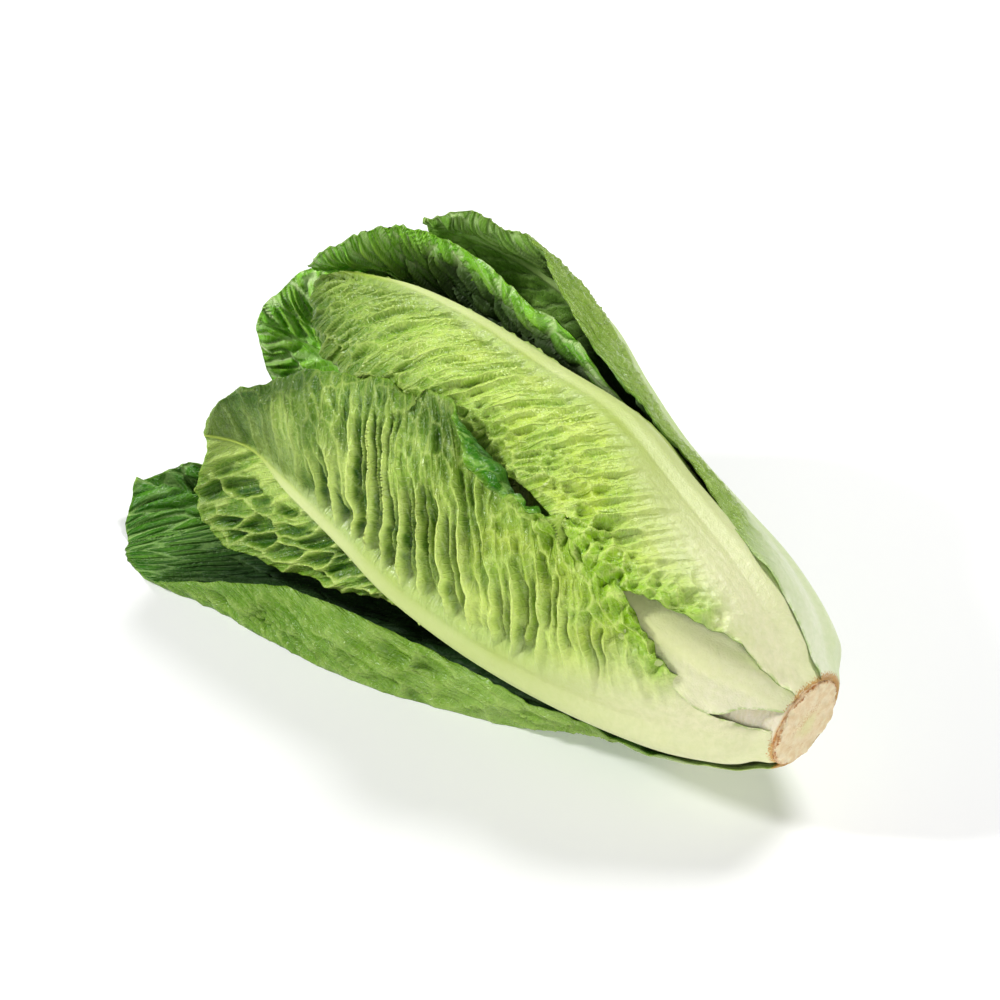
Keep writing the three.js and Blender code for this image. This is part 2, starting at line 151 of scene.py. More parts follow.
SHOWING_LEAVES = [
    Leaf(
        name="outer_leaf_bottom",
        slot="outer_leaf",
        wave=(1.2, 6, 0.4),
        left=(
            (1.5, 20.8, 222), (22, 33, 226), (48, 46, 230), (88, 59, 230), (128, 66.5, 230),
            (172, 73, 228), (215, 79.5, 228), (255, 82, 226), (296, 71, 258), (335, 55, 300),
        ),
        rib=(
            (1.5, 21, 262), (20, 33, 262), (48, 45.5, 262), (88, 55.5, 262), (128, 61, 262),
            (175, 67, 262), (215, 70, 262), (255, 74, 262), (304, 80, 280), (345, 84, 308),
        ),
        right=(
            (1.5, 21, 312), (20, 34, 316), (46, 44.5, 319), (86, 55, 321, 3), (130, 60.5, 322, 15),
            (182, 69, 328, 25), (226, 79, 327, 29), (255, 93, 325, 22), (290, 111, 319, 9),
            (318, 112, 314, 4), (334, 106, 310, 1),
        ),
        rows=260,
        columns=155,
        vein_gap=(15, 14),
        pleat=(0.5, 1.4),
        wrinkle=(1.2, 2.2),
        pouch=(4.6, 5.4),
        pouch_width=(10, 11),
        pouch_length=(12, 13),
        pouches_from=(0.2, 0.2),
        petiole=(30, 62),
        dark_from=0.92,
        rounding=0.1,
        roundness=0.3,
        green="bottom",
        seed=11,
    ),
    Leaf(
        name="wrapper_leaf_back",
        slot="wrapper_leaf",
        wave=(1.6, 7, 1.9),
        left=(
            (1.5, 20.8, 104), (16, 30, 113), (33, 41, 114), (54, 48.8, 114), (90, 59.4, 123),
            (126, 70.5, 128), (158, 78, 128), (198, 95, 129), (226, 106, 134.5), (242, 104, 138, -2),
            (255, 104.5, 137, -3), (266, 105, 134, -3),
        ),
        rib=(
            (1.5, 21.6, 158), (13, 32.5, 158), (30, 42.5, 158), (55, 52.5, 158), (84, 60.5, 158),
            (124, 71.5, 158), (160, 86, 158), (196, 102, 158), (236, 108, 158), (262, 102, 150),
            (282, 89, 135),
        ),
        right=(
            (3, 21.5, 210), (16, 32, 218), (32, 42, 224), (55, 54, 229), (90, 68, 231),
            (125, 78.5, 230.5), (160, 85.5, 229), (200, 91.5, 228), (236, 92.5, 219), (262, 88, 200),
            (284, 64, 150),
        ),
        rows=271,
        columns=161,
        backing=2,
        fine_inside=True,
        rounding=0.08,
        roundness=0.3,
        vein_gap=(13, 13),
        pleat=(0.6, 0.5),
        wrinkle=(1.4, 1.0),
        pouch=(3.6, 3.0),
        pouch_width=(9, 9),
        pouch_length=(11, 11),
        pouches_from=(0.2, 0.3),
        petiole=(34, 84),
        frill=(1.8, 13),
        green="wrapper",
        seed=23,
    ),
    Leaf(
        name="outer_leaf_back_upper",
        slot="outer_leaf",
        wave=(1.6, 7, 0.2),
        left=(
            (4, 21, 172), (22, 31, 168), (56, 45, 166), (98, 57, 165), (140, 67, 154, -3),
            (180, 79, 134, -8), (220, 85, 132, -13), (256, 88, 126, -15), (283, 77.5, 114, -10),
            (297, 60.5, 104, -4),
        ),
        rib=(
            (4, 21, 196), (22, 31.5, 196), (60, 47.5, 196), (100, 59, 196), (140, 68, 196),
            (180, 76, 196), (220, 84, 196), (262, 86, 190), (298, 70, 162), (312, 46, 124),
        ),
        right=(
            (4, 20.5, 218), (24, 31, 220), (60, 44.5, 238), (100, 53.5, 244), (140, 58.5, 244),
            (180, 62.5, 246), (220, 66, 248), (260, 68, 246), (286, 71, 232), (304, 66, 198),
        ),
        rows=271,
        columns=171,
        backing=2,
        fine_inside=True,
        vein_gap=(14, 14),
        pleat=(0.8, 0.6),
        wrinkle=(1.4, 1.2),
        pouch=(6.0, 5.0),
        pouch_width=(10, 10),
        pouch_length=(12, 12),
        pouches_from=(0.1, 0.1),
        petiole=(24, 50),
        rounding=0.08,
        roundness=0.3,
        dark_from=0.89,
        green="outside",
        seed=37,
    ),
    Leaf(
        name="outer_leaf_back_lower",
        slot="outer_leaf",
        wave=(1.6, 7, 2.6),
        left=(
            (9, 19.5, 186), (30, 29, 182), (70, 41, 176), (114, 52.5, 172), (160, 57.5, 168),
            (205, 61, 166, -5), (250, 60, 160, -9), (286, 59, 150, -9), (316, 57, 147, -8),
            (331, 55, 146, -6),
        ),
        rib=(
            (9, 19.8, 214), (30, 29.5, 214), (70, 42, 214), (115, 52, 214), (160, 58, 214),
            (205, 61, 214), (250, 60, 214), (292, 53, 211), (326, 43, 206), (345, 24, 198),
        ),
        right=(
            (9, 19.3, 242), (30, 28.5, 258), (70, 39.5, 276), (115, 46.5, 282), (160, 50, 284),
            (205, 52, 282), (250, 52, 274), (290, 49, 262), (316, 43, 250), (334, 34, 242),
        ),
        rows=241,
        columns=131,
        backing=2,
        fine_inside=True,
        vein_gap=(15, 15),
        pleat=(0.8, 0.6),
        wrinkle=(1.2, 1.0),
        pouch=(5.0, 3.0),
        pouch_width=(9, 9),
        pouch_length=(11, 11),
        pouches_from=(0.1, 0.2),
        petiole=(24, 50),
        dark_from=0.5,
        rounding=0.22,
        green="outside",
        seed=41,
    ),
    Leaf(
        name="face_leaf_front",
        slot="face_leaf",
        wave=(1.6, 9, 0.9),
        left=(
            (1.5, 20.2, -44), (22, 25, -58), (46, 33, -68), (84, 42, -68), (126, 49, -58),
            (172, 57, -43), (212, 68, -36), (250, 76, -40), (284, 81, -43), (309, 74, -37),
        ),
        rib=(
            (1.5, 20.8, -20), (22, 33, -20), (46, 43, -20), (85, 52.5, -19), (125, 58, -17),
            (171, 59, -14), (207, 54, -12), (246, 48.5, -11), (275, 45, -9), (294, 53, -7),
        ),
        right=(
            (1.5, 20.6, 18), (20, 28.5, 11), (42, 43, 33), (68, 57, 49, 1), (112, 60, 60, 2),
            (158, 60, 71, 4), (204, 62, 68, 7), (246, 57, 56, 8), (265, 57, 38, 5), (277, 54, 25, 2),
        ),
        rows=375,
        columns=211,
        backing=2,
        rounding=0.14,
        roundness=0.3,
        rolls=(("right", 0.39, 0.64, 19, 160),),
        lean=(1.15, 0.05),
        curl=(0.0, 0.011),
        vein_gap=(12, 12),
        pleat=(7.0, 5.6),
        pleat_width=(1.9, 1.7),
        wrinkle=(1.8, 2.0),
        wrinkle_width=(9, 9),
        wrinkle_length=(24, 40),
        pouch=(7.0, 2.6),
        pouch_width=(11, 8),
        pouch_length=(13, 10),
        pouches_from=(0.5, 0.66),
        keel=(4.0, 2.4),
        keel_width=(12, 2.0),
        petiole=(30, 105),
        frill=(2.6, 8),
        lace=(1, 40, 150),
        smooth_from=0.72,
        shade=(1.5, 1.35),
        dusk=(0.5, 1.7),
        green="face",
        seed=53,
    ),
    Leaf(
        name="face_leaf_top",
        slot="face_leaf",
        wave=(1.6, 9, 2.2),
        left=(
            (1.5, 20.6, 66), (12, 30.5, 62), (32, 45.5, 61.5), (52, 56, 53), (84, 62, 51.5, 1),
            (130, 65.5, 60, 2), (172, 52, 56, 8), (212, 50, 56, 9), (250, 45, 62, 6),
            (275, 42, 78, 2), (287, 41, 92),
        ),
        rib=(
            (1.5, 20.4, 115), (17, 27.5, 115), (35, 38, 115), (54, 46, 115), (88, 56.5, 115),
            (127, 68, 115), (172, 68.5, 115), (214, 68.5, 115), (252, 64.5, 115), (284, 56, 114),
            (299, 47, 112),
        ),
        right=(
            (1.5, 20, 152), (17, 25.5, 156), (35, 34, 162), (55, 37, 167), (88, 42, 173),
            (130, 47.5, 173), (170, 49.5, 170), (212, 52, 166), (248, 53, 160), (274, 51, 148),
            (288, 48, 132),
        ),
        rows=375,
        columns=211,
        backing=2,
        lean=(0.25, 1.0),
        curl=(0.007, 0.005),
        vein_gap=(7.5, 9),
        pleat=(2.4, 0.3),
        pleat_width=(1.6, 2.2),
        wrinkle=(3.4, 0.6),
        wrinkle_width=(7, 8),
        wrinkle_length=(36, 30),
        pouch=(4.4, 0.8),
        pouch_width=(7, 8),
        pouch_length=(8.5, 9),
        pouches_from=(0.7, 0.5),
        keel=(3.0, 0.8),
        keel_width=(14, 3.0),
        petiole=(40, 125),
        frill=(3.2, 8),
        lace=(-1, 35, 125),
        shade=(0.7, 0.3),
        dusk=(0.9, 0.4),
        green="face",
        seed=67,
    ),
    Leaf(
        name="pale_leaf_front",
        slot="pale_leaf",
        wave=(1.4, 7, 1.1),
        left=(
            (1.5, 20, 44), (12, 27, 28), (24, 34.5, 14), (38, 39.5, 20), (60, 43, 12),
            (90, 46, -6), (130, 46, -20), (175, 44, -26), (210, 39, -22), (232, 36, -8),
            (242, 34, 16),
        ),
        rib=(
            (1.5, 20.4, 62), (12, 27, 57), (27, 36.5, 49), (42, 43.5, 47), (62, 49.5, 46),
            (92, 53.5, 46), (130, 52.5, 46), (175, 46, 46), (212, 41, 46), (236, 37, 46),
            (250, 34, 48),
        ),
        right=(
            (1.5, 19.6, 80), (13, 23.5, 86), (28, 31, 92), (42, 35, 96), (62, 40, 100),
            (92, 44, 105), (130, 46.5, 110), (175, 47, 112), (220, 44, 106), (250, 41, 96),
            (262, 38, 78),
        ),
        rows=120,
        columns=61,
        pouch=(2.0, 2.0),
        keel=(2.0, 0.5),
        keel_width=(9, 1.0),
        petiole=(46, 50),
        frill=(1.8, 9),
        green="heart",
        seed=71,
    ),
]

# Leaves folded inside the head: [radius at the fullest, angle of the midrib, wrap, tip].
HEART_LEAVES = [
    [41.5, 262, 64, 290],
    [40, 134, 64, 284],
    [37, 2, 76, 276],
    [33, 222, 78, 264],
    [28, 86, 80, 252],
    [23, 306, 82, 238],
    [17.5, 170, 84, 224],
    [12, 34, 88, 208],
]
HEART_FIRST_NODE = 14  # lowest leaf base inside the head, along the stem
HEART_NODE_STEP = 4.6  # next base up the stem
HEART_FULLEST = 0.42  # of the leaf's length, where its radius is reached
HEART_TIP_RADIUS = 0.84  # of that radius, at the tip
HEART_ROWS = np.array([0, 0.05, 0.12, 0.24, 0.42, 0.62, 0.8, 0.93, 1])
HEART_WAVE = 1  # height of the edge's waves
STEM_PROFILE = np.array(
    [
        [-CUT_TRIM, 0], [-CUT_TRIM, CUT_RADIUS - CUT_BEVEL], [-CUT_TRIM + 0.7, CUT_RADIUS],
        [1.6, CUT_RADIUS + 0.3], [2, 16.6], [10, 14.2], [24, 11], [44, 7.2], [60, 4], [63, 0],
    ]
)
STEM_SIDES = 160
STEM_RINGS = (  # (along, radius) behind the cut face, where the stem fills what the leaf bases leave
    (-0.7, 19.1), (-0.3, 19.4), (0.6, 19.6), (1.6, 19.7), (3, 19.9), (5, 20.3), (8, 21.2), (11, 22.6),
    (15, 24.5), (20, 26.6), (25, 28), (30, 28), (36, 24), (44, 14), (60, 4), (62.5, 0.6),
)

# ---- The camera and the studio ----------------------------------------------------------------
PICTURE = 1000  # pixels along each side
SENSOR = 36  # millimetres across
LENS = 100  # focal length in millimetres
VIEW_AZIMUTH = math.radians(43.9)
VIEW_ELEVATION = math.radians(35.5)
CUT_DEPTH = 1090  # from the lens to the cut face, along the view
CUT_PIXEL = (805, 722)  # where the middle of the cut face shows
LAMPS = (("key", (-1.0, -0.95, 1.05), 0.28), ("back", (0.0, 0.8, 1.3), 0.5), ("side", (1.3, -0.75, 0.5), 0.8))
LAMP_TARGET = (0, 0, 0.05)  # where the lamps point, in metres like their places and sizes
ROOM_LIGHT = 0.09  # strength of the white light from all round
FLOOR_GLOW = 0.2  # strength of the floor's own light


# ---- Numbers from places ----------------------------------------------------------------------
def ease(low, high, value):
    """0 below low, 1 above high and a smooth climb between."""
    part = np.clip((value - low) / (high - low), 0, 1)
    return part * part * (3 - 2 * part)


def hills(x, y, size, seed):
    """Smooth hills and dips from -1 to 1, about size across."""
    heights = np.random.RandomState(seed).uniform(-1, 1, (LATTICE, LATTICE))
    total = 0
    for turn, scale, share in HILL_LAYERS:
        across = (x * math.cos(turn) - y * math.sin(turn)) / (size * scale)
        up = (x * math.sin(turn) + y * math.cos(turn)) / (size * scale)
        column, row = np.floor(across).astype(int), np.floor(up).astype(int)
        side, rise = ease(0, 1, across - column), ease(0, 1, up - row)
        lines = []
        for j in (0, 1):
            left, right = (heights[(column + i) % LATTICE, (row + j) % LATTICE] for i in (0, 1))
            lines.append(left * (1 - side) + right * side)
        total = total + share * (lines[0] * (1 - rise) + lines[1] * rise)
    return total


def pebbles(x, y, seed):
    """Cells round scattered points, about 1 across.

    Gives how far inside its cell a place is, and the cell's own number from 0 to 1.
    """
    across, up, numbers = np.random.RandomState(seed).uniform(0, 1, (3, LATTICE, LATTICE))
    column, row = np.floor(x).astype(int), np.floor(y).astype(int)
    first = np.full(x.shape, np.inf)
    second = np.full(x.shape, np.inf)
    number = np.zeros(x.shape)
    for i in (-1, 0, 1):
        for j in (-1, 0, 1):
            a, b = (column + i) % LATTICE, (row + j) % LATTICE
            away = np.hypot(column + i + across[a, b] - x, row + j + up[a, b] - y)
            nearer = away < first
            second = np.where(nearer, first, np.minimum(second, away))
            number = np.where(nearer, numbers[a, b], number)
            first = np.where(nearer, away, first)
    return np.clip(second - first, 0, 1), number


def comb(count):
    """1 where count is whole, falling to 0 half way between."""
    return np.abs(2 * (count - np.floor(count)) - 1)


# ---- Surfaces ---------------------------------------------------------------------------------
def head_point(along, radius, angle):
    """Places in millimetres from polar places about the head's axis."""
    turn = np.radians(angle)
    amounts = along, -radius * np.cos(turn), radius * np.sin(turn)
    axes = TOWARD_TIPS, TOWARD_BACK, ACROSS_UP
    return CUT_CENTRE + sum(np.asarray(amount)[..., None] * axis for amount, axis in zip(amounts, axes))


def smooth_line(points, ways):
    """Places on a Catmull-Rom line through control points, at ways of 0 to 1 along it."""
    corners = np.array([tuple(point) + (0,) * (4 - len(point)) for point in points], float)
    corners = np.vstack([2 * corners[0] - corners[1], corners, 2 * corners[-1] - corners[-2]])
    place = np.clip(ways, 0, 1) * (len(points) - 1)
    first = np.minimum(place.astype(int), len(points) - 2)
    part = (place - first)[:, None]
    before, start, end, after = (corners[first + k] for k in range(4))
    lead, trail = (end - before) / 2, (after - start) / 2
    curve = 3 * (end - start) - 2 * lead - trail
    return start + part * (lead + part * (curve + part * (2 * (start - end) + lead + trail)))


def lengths(places, axis):
    """How far each place is along its row or column."""
    steps = np.linalg.norm(np.diff(places, axis=axis), axis=-1)
    zero = np.zeros_like(steps.take([0], axis=axis))
    return np.concatenate([zero, np.cumsum(steps, axis=axis)], axis=axis)


def outward(places):
    """Unit normals that point out of the head."""
    crosswise, lengthwise = np.gradient(places, axis=1), np.gradient(places, axis=0)
    normal = np.cross(crosswise, lengthwise)
    return normal / np.maximum(np.linalg.norm(normal, axis=-1, keepdims=True), 1e-9)


@dataclass
class Sheet:
    """A leaf's outer face before it is puckered, with every place's whereabouts in millimetres."""

    places: np.ndarray
    way: np.ndarray  # 0 at the base to 1 at the tip
    across: np.ndarray  # -1 at the left edge to 1 at the right
    up: np.ndarray  # along the midrib
    out: np.ndarray  # from the midrib, negative on the left
    to_side: np.ndarray  # from the side edge
    to_tip: np.ndarray  # from the tip
    length: float

    @property
    def edge(self):
        """How far a place is from the nearest edge."""
        return np.minimum(self.to_side, self.to_tip)

    @property
    def reach(self):
        """How far a place is from the midrib, on either side."""
        return np.abs(self.out)

    @property
    def part(self):
        """How far along the leaf a place is, from 0 to 1."""
        return np.clip(self.up / self.length, 0, 1)

    def by_side(self, pair):
        """A (left, right) pair of numbers as one number a place, blended over the midrib."""
        share = ease(-3, 3, self.out)
        return pair[0] * (1 - share) + pair[1] * share

    def hills(self, size, seed):
        """Smooth hills and dips over the blade."""
        return hills(self.up, self.out, size, seed)


def lay_out(leaf, rows, columns):
    """The smooth sheet of a leaf, as the CAD has it."""
    fine = np.linspace(0, 1, 500)
    run = lengths(head_point(*smooth_line(leaf.rib, fine).T[:3]), 0)
    straight = np.interp(np.linspace(0, run[-1], rows), run, fine)
    across = np.broadcast_to(np.linspace(-1, 1, columns), (rows, columns))
    near_tip = np.clip((straight - 1 + leaf.rounding) / leaf.rounding, 0, 1)[:, None]
    ways = straight[:, None] - leaf.rounding * near_tip * (1 - np.sqrt(1 - leaf.roundness * across**2))
    across = across * np.sqrt(1 - leaf.roundness * near_tip**2)
    rib, left, right = (
        smooth_line(line, ways.ravel()).reshape(rows, columns, 4)
        for line in (leaf.rib, leaf.left, leaf.right)
    )
    edge = np.where(across[..., None] < 0, left, right)
    far = np.abs(across)
    bowed = (1 - np.sqrt(1 - EDGE_BOW * far**2)) / (1 - math.sqrt(1 - EDGE_BOW))
    along = rib[..., 0] + (edge[..., 0] - rib[..., 0]) * bowed
    radius = rib[..., 1] + (edge[..., 1] - rib[..., 1]) * far**2 + edge[..., 3] * 4 * (far**2 - far**4)
    angle = rib[..., 2] + (edge[..., 2] - rib[..., 2]) * far
    places = head_point(along, radius, angle)
    up = np.interp(ways, fine, run) + along - rib[..., 0]
    out = lengths(places, 1)
    out = out - out[:, columns // 2][:, None]
    to_side = np.where(across < 0, out - out[:, :1], out[:, -1:] - out)
    tall = lengths(places, 0)
    to_tip = tall[-1:] - tall
    places = roll_edges(places, ways, leaf.rolls)
    return Sheet(places, ways, across, up, out, to_side, to_tip + 0 * to_side, run[-1])


def roll_edges(places, ways, rolls):
    """Roll stretches of a leaf's edge outward, keeping the blade's width."""
    normal = outward(places)
    for side, start, end, width, degrees in rolls:
        order = slice(None) if side == "left" else slice(None, None, -1)
        middle = (start + end) / 2
        for row, way in enumerate(ways[:, ways.shape[1] // 2]):
            if not start < way < end:
                continue
            turn = math.radians(degrees) * math.cos((way - middle) / (end - start) * math.pi) ** 2
            line = places[row, order]
            run = np.concatenate([[0], np.cumsum(np.linalg.norm(np.diff(line, axis=0), axis=1))])
            pin = np.searchsorted(run, width)
            outer_way = line[pin - 1] - line[pin + 1]
            outer_way /= np.linalg.norm(outer_way)
            lift = normal[row, order][pin]
            past = (run[pin] - run[:pin])[:, None]
            bend = turn / run[pin]
            sideways = outer_way * np.sin(bend * past) / bend
            line[:pin] = line[pin] + sideways + lift * (1 - np.cos(bend * past)) / bend
    return places


def away_from(distance):
    """The depth beside a rounded crest, from 0 on it to 1 a distance of two away."""
    return 1 - np.exp(-(distance**2))


def midrib(leaf, sheet):
    """Half width and height of the midrib, and where it hasn't run out yet."""
    slim = (1 - sheet.part) ** 1.2
    runs_out = ease(0.94, 0.82, sheet.part)
    wide, narrow = leaf.keel_width
    proud, flat = leaf.keel
    half_width = (narrow + (wide - narrow) * slim) * (0.3 + 0.7 * runs_out)
    height = (flat + (proud - flat) * slim) * runs_out * ease(0, 18, sheet.up)
    return half_width, height, runs_out


def pale_base(leaf, sheet, keel_width, wander):
    """How much a place belongs to the pale petiole, from 0 to 1."""
    half_width, top = leaf.petiole
    pale_width = 1.3 * keel_width + half_width * ease(top * 1.4, top * 0.1, sheet.up)
    ragged = 0.12 * hills(sheet.up / 12, sheet.out, 3, leaf.seed + 18)
    return ease(1.6, 0.3, sheet.reach / pale_width + 0.25 * wander + ragged)


def side_veins(leaf, sheet):
    """How far up the midrib a place's side vein leaves it, and the number of that vein.

    Side veins lean tipward as they cross the blade, more and more toward its edge.
    """
    reach, seed = sheet.reach, leaf.seed
    lead = sheet.up - sheet.by_side(leaf.lean) * reach - sheet.by_side(leaf.curl) * reach**2 / 2
    count = lead / sheet.by_side(leaf.vein_gap) + np.where(sheet.out < 0, 0.5, 0)
    return lead, count + 0.6 * sheet.hills(32, seed + 2) + 0.16 * sheet.hills(9, seed + 3)


def pleats(leaf, sheet, count):
    """Depth between the rounded crests along the side veins and their branches."""
    reach = sheet.reach
    gap, crest_width = sheet.by_side(leaf.vein_gap), sheet.by_side(leaf.pleat_width)
    pleat = away_from((1 - comb(count)) / 2 * gap / crest_width)
    branch = 1 - away_from((1 - comb(2 * count)) / 4 * gap / (0.7 * crest_width))
    depth = 0.75 + 0.6 * hills(7.3 * np.floor(count), 0.05 * reach, 1, leaf.seed + 16)
    return pleat * (1 - 0.55 * branch * ease(10, 26, reach)) * depth


def wrinkles(leaf, sheet, lead, bend):
    """Depth of the less even folds that run along the side veins."""
    width, length = sheet.by_side(leaf.wrinkle_width), sheet.by_side(leaf.wrinkle_length)
    swell = hills(lead / width + 0.5 * bend, sheet.reach / length, 1.0, leaf.seed + 6)
    ripple = hills(lead / width * 1.9 + bend, sheet.reach / length * 1.6, 1.0, leaf.seed + 17)
    uneven = 0.85 + 0.6 * sheet.hills(26, leaf.seed + 21)
    return (0.7 * away_from(3 * swell) + 0.3 * away_from(3 * ripple)) * uneven


def pouches(leaf, sheet, lead, bend, wander):
    """How far inside its pouch a place is, and the depth of the pouch there."""
    width, length = sheet.by_side(leaf.pouch_width), sheet.by_side(leaf.pouch_length)
    in_bag, number = pebbles(lead / width + 0.4 * wander, sheet.reach / length + bend, leaf.seed + 7)
    return in_bag, (1 - (1 - in_bag) ** 3) * (0.35 + 0.65 * number)


def dimples(leaf, sheet, bend, wander):
    """Depth of the smallest dimples of the blade."""
    in_dimple, number = pebbles(sheet.up / 3.6 + 0.4 * wander, sheet.out / 3.2 + bend, leaf.seed + 8)
    return away_from(in_dimple / 0.35) * (0.4 + 0.6 * number)


def crinkles(leaf, sheet):
    """Where the edge is crinkled, from 0 to 1, and how far it stands off there."""
    side, start, end = leaf.lace
    up, out, seed = sheet.up, sheet.out, leaf.seed
    lace = ease(start, start + 12, up) * ease(end, end - 30, up) * (np.sign(out) == side)
    lace = lace * np.exp(-((sheet.to_side / 13) ** 2))
    crinkle = 4.2 * lace * (0.6 - 2 * np.abs(hills(up, 0.6 * out, 6.5, seed + 19)))
    return lace, crinkle + 1.4 * lace * sheet.hills(2.8, seed + 20)


def edge_waves(leaf, sheet):
    """The long waves of the edges, and the fine frills on them."""
    height, count, phase = leaf.wave
    turn = 2 * math.pi * count * sheet.way + phase + np.where(sheet.out < 0, 1.7, 0)
    wave = height * sheet.across**4 * np.sin(turn) * np.sin(math.pi * sheet.way)
    height, length = leaf.frill
    frill = height * np.exp(-sheet.edge / 5) * hills(sheet.up, 0.8 * sheet.out, length, leaf.seed + 13)
    return wave, frill


def dusk_share(leaf, sheet, wander):
    """How dark the blade is round its tip and along its margins, from 0 to 1."""
    part, far = sheet.part, np.abs(sheet.across)
    tip = ease(0.66, 0.92, part + 0.08 * wander) * (0.55 + 0.45 * ease(22, 4, sheet.edge))
    margin = 0.45 * ease(0.6, 0.95, far + 0.1 * wander) * ease(0.3, 0.6, part)
    return np.clip(sheet.by_side(leaf.dusk) * np.maximum(tip, margin), 0, 1)


def tissue(leaf, sheet):
    """How a leaf's blade and ribs stand off its smooth sheet, and what its finish is drawn from."""
    up, out, reach, part, seed = sheet.up, sheet.out, sheet.reach, sheet.part, leaf.seed
    far = np.abs(sheet.across)
    keel_width, keel, runs_out = midrib(leaf, sheet)
    wander = sheet.hills(17, seed + 1)
    petiole = pale_base(leaf, sheet, keel_width, wander)
    lead, count = side_veins(leaf, sheet)
    bend = 0.5 * sheet.hills(19, seed + 4) + 0.22 * sheet.hills(7, seed + 5)
    pleat = pleats(leaf, sheet, count)
    wrinkle = wrinkles(leaf, sheet, lead, bend)
    in_bag, bag = pouches(leaf, sheet, lead, bend, wander)
    lace, crinkle = crinkles(leaf, sheet)
    wave, frill = edge_waves(leaf, sheet)

    start = ease(0.9, 2.4, reach / keel_width) * (1 - 0.95 * petiole)
    takes_over = sheet.by_side(leaf.pouches_from)
    bagged = ease(takes_over - 0.2, takes_over + 0.2, far + 0.2 * wander)
    calm = 0.3 + 0.7 * ease(1, 12, sheet.edge)
    pleat_depth = sheet.by_side(leaf.pleat)
    folds = (pleat_depth * pleat + sheet.by_side(leaf.wrinkle) * wrinkle) * (1 - 0.75 * bagged)
    folds = folds * (1 - 0.85 * ease(leaf.smooth_from, leaf.smooth_from + 0.1, part))
    bags = sheet.by_side(leaf.pouch) * bag * (0.2 + 0.8 * bagged)
    sink = start * calm * (folds + bags + 0.4 * dimples(leaf, sheet, bend, wander))
    crumple = start * (0.9 * sheet.hills(12, seed + 10) + 0.3 * sheet.hills(4, seed + 11))
    sway = leaf.sway * sheet.hills(46, seed + 12) * ease(8, 40, reach)
    tuck = -1.0 * ease(3, 0, up)

    rib = keel * np.clip(1 - (reach / keel_width) ** 2, 0, 1) ** 1.3
    veins = start * (0.2 + 0.6 * np.exp(-reach / 30)) * np.exp(-(((1 - comb(count)) / 0.25) ** 2))
    streaks = 0.2 * petiole * hills(up / 14, out, 2.6, seed + 9)

    # Painted highlight: crests are painted paler, partly as pale veins, partly as the sheen on them.
    pleat_crest = np.clip(1 - pleat, 0, 1) * np.clip(pleat_depth / 5, 0, 1)
    crest = np.maximum(pleat_crest, 0.6 * np.clip(1 - wrinkle, 0, 1) ** 2)
    net = 0.7 * ease(0.2, 0.0, in_bag) * bagged
    crest = start * np.maximum(np.clip(crest, 0, 1) * (1 - bagged), net)
    streaky = ease(0.1, 0.7, hills(lead / 7, reach / 30, 1, seed + 22))
    # Painted sheen: the blade beside the midrib is paler, partly its own pale tissue, partly a painted
    # whitish sheen.
    wing = 0.65 * ease(3.0, 0.9, reach / keel_width) * runs_out
    wing = wing + 0.45 * ease(30, 6, reach) * ease(0.85, 0.55, part) * streaky
    age = 0.75 * ease(0.25, 0.95, part) + 0.4 * far**2 * ease(0.1, 0.5, part) + 0.15 * wander
    # Painted shade: the inner face is painted darker deep in the head, where little light reaches.
    in_the_dark = ease(leaf.dark_from, leaf.dark_from - 0.2, part)

    return {
        "both": -sink + crinkle + crumple + sway + wave + frill + tuck,
        "outer": rib + veins + streaks,
        "pull": (1.2 + 3.8 * lace) * sheet.hills(8, seed + 14) + 0.3 * sheet.hills(3, seed + 15),
        "pale": np.maximum(petiole, 0.5 * wing),
        "bloom": np.clip(1.3 * wing, 0, 1),
        "lace": lace,
        "course": np.stack([lead, reach + 200.0 * (out < 0), 0 * up], -1),
        "rib": ease(1.3, 0.6, reach / keel_width) * runs_out,
        "vein": count,
        # Painted shade: the folds are painted darker the deeper they sink, and the inner face's pouches
        # lighter.
        "hollow": np.clip(sheet.by_side(leaf.shade) * sink / 6, 0, 1),
        "dusk": dusk_share(leaf, sheet, wander),
        "part": part,
        "cavity": in_the_dark * ease(0.5, 12, sheet.edge),
        "crest": crest,
        "pocket": in_bag + 1 - bagged,
        "age": np.clip(age, 0, 1),
        "edge": sheet.edge,
        "reach": reach,
        "flat": np.stack([up, out, np.zeros_like(up)], -1),
    }


def thickness(sheet, blade):
    """Thickness of a leaf inward from its outer face, as in the CAD with fleshy tissue added."""
    rib = RIB_AT_BASE + (RIB_AT_TIP - RIB_AT_BASE) * np.sqrt(sheet.way)
    half_width = RIB_HALF_WIDTH * (1.5 - sheet.way)
    blade = blade * (0.6 + 0.4 * ease(0, 4, sheet.edge))
    flesh = FLESH_AT_BASE * np.exp(-sheet.up / FLESH_REACH) * (1 - sheet.across**4)
    flesh = flesh + CORE * np.exp(-((sheet.out / CORE_HALF_WIDTH) ** 2))
    return blade + (rib - blade) * np.exp(-((sheet.across / half_width) ** 2)) + flesh


def shell_faces(rows, columns, step, fine_inside):
    """Faces of a closed shell.

    The fine face's points come first, then every step-th row and column of the other's.
    """
    fine = np.arange(rows * columns).reshape(rows, columns)
    kept = fine[::step, ::step]
    coarse = np.arange(kept.size).reshape(kept.shape) + rows * columns
    faces, rims = [], []
    for grid, turned in ((fine, fine_inside), (coarse, not fine_inside)):
        a, b, c, d = grid[:-1, :-1], grid[:-1, 1:], grid[1:, 1:], grid[1:, :-1]
        corners = (a, d, c, b) if turned else (a, b, c, d)
        faces += np.stack([corner.ravel() for corner in corners], 1).tolist()
        sides = grid[0, :-1], grid[:-1, -1], grid[-1, :0:-1], grid[:0:-1, 0], grid[0, :1]
        rims.append(np.concatenate(sides))
    fine_rim, coarse_rim = rims
    for k in range(len(coarse_rim) - 1):
        face = [*fine_rim[k * step : (k + 1) * step + 1][::-1], coarse_rim[k], coarse_rim[k + 1]]
        faces.append(face[::-1] if fine_inside else face)
    return faces


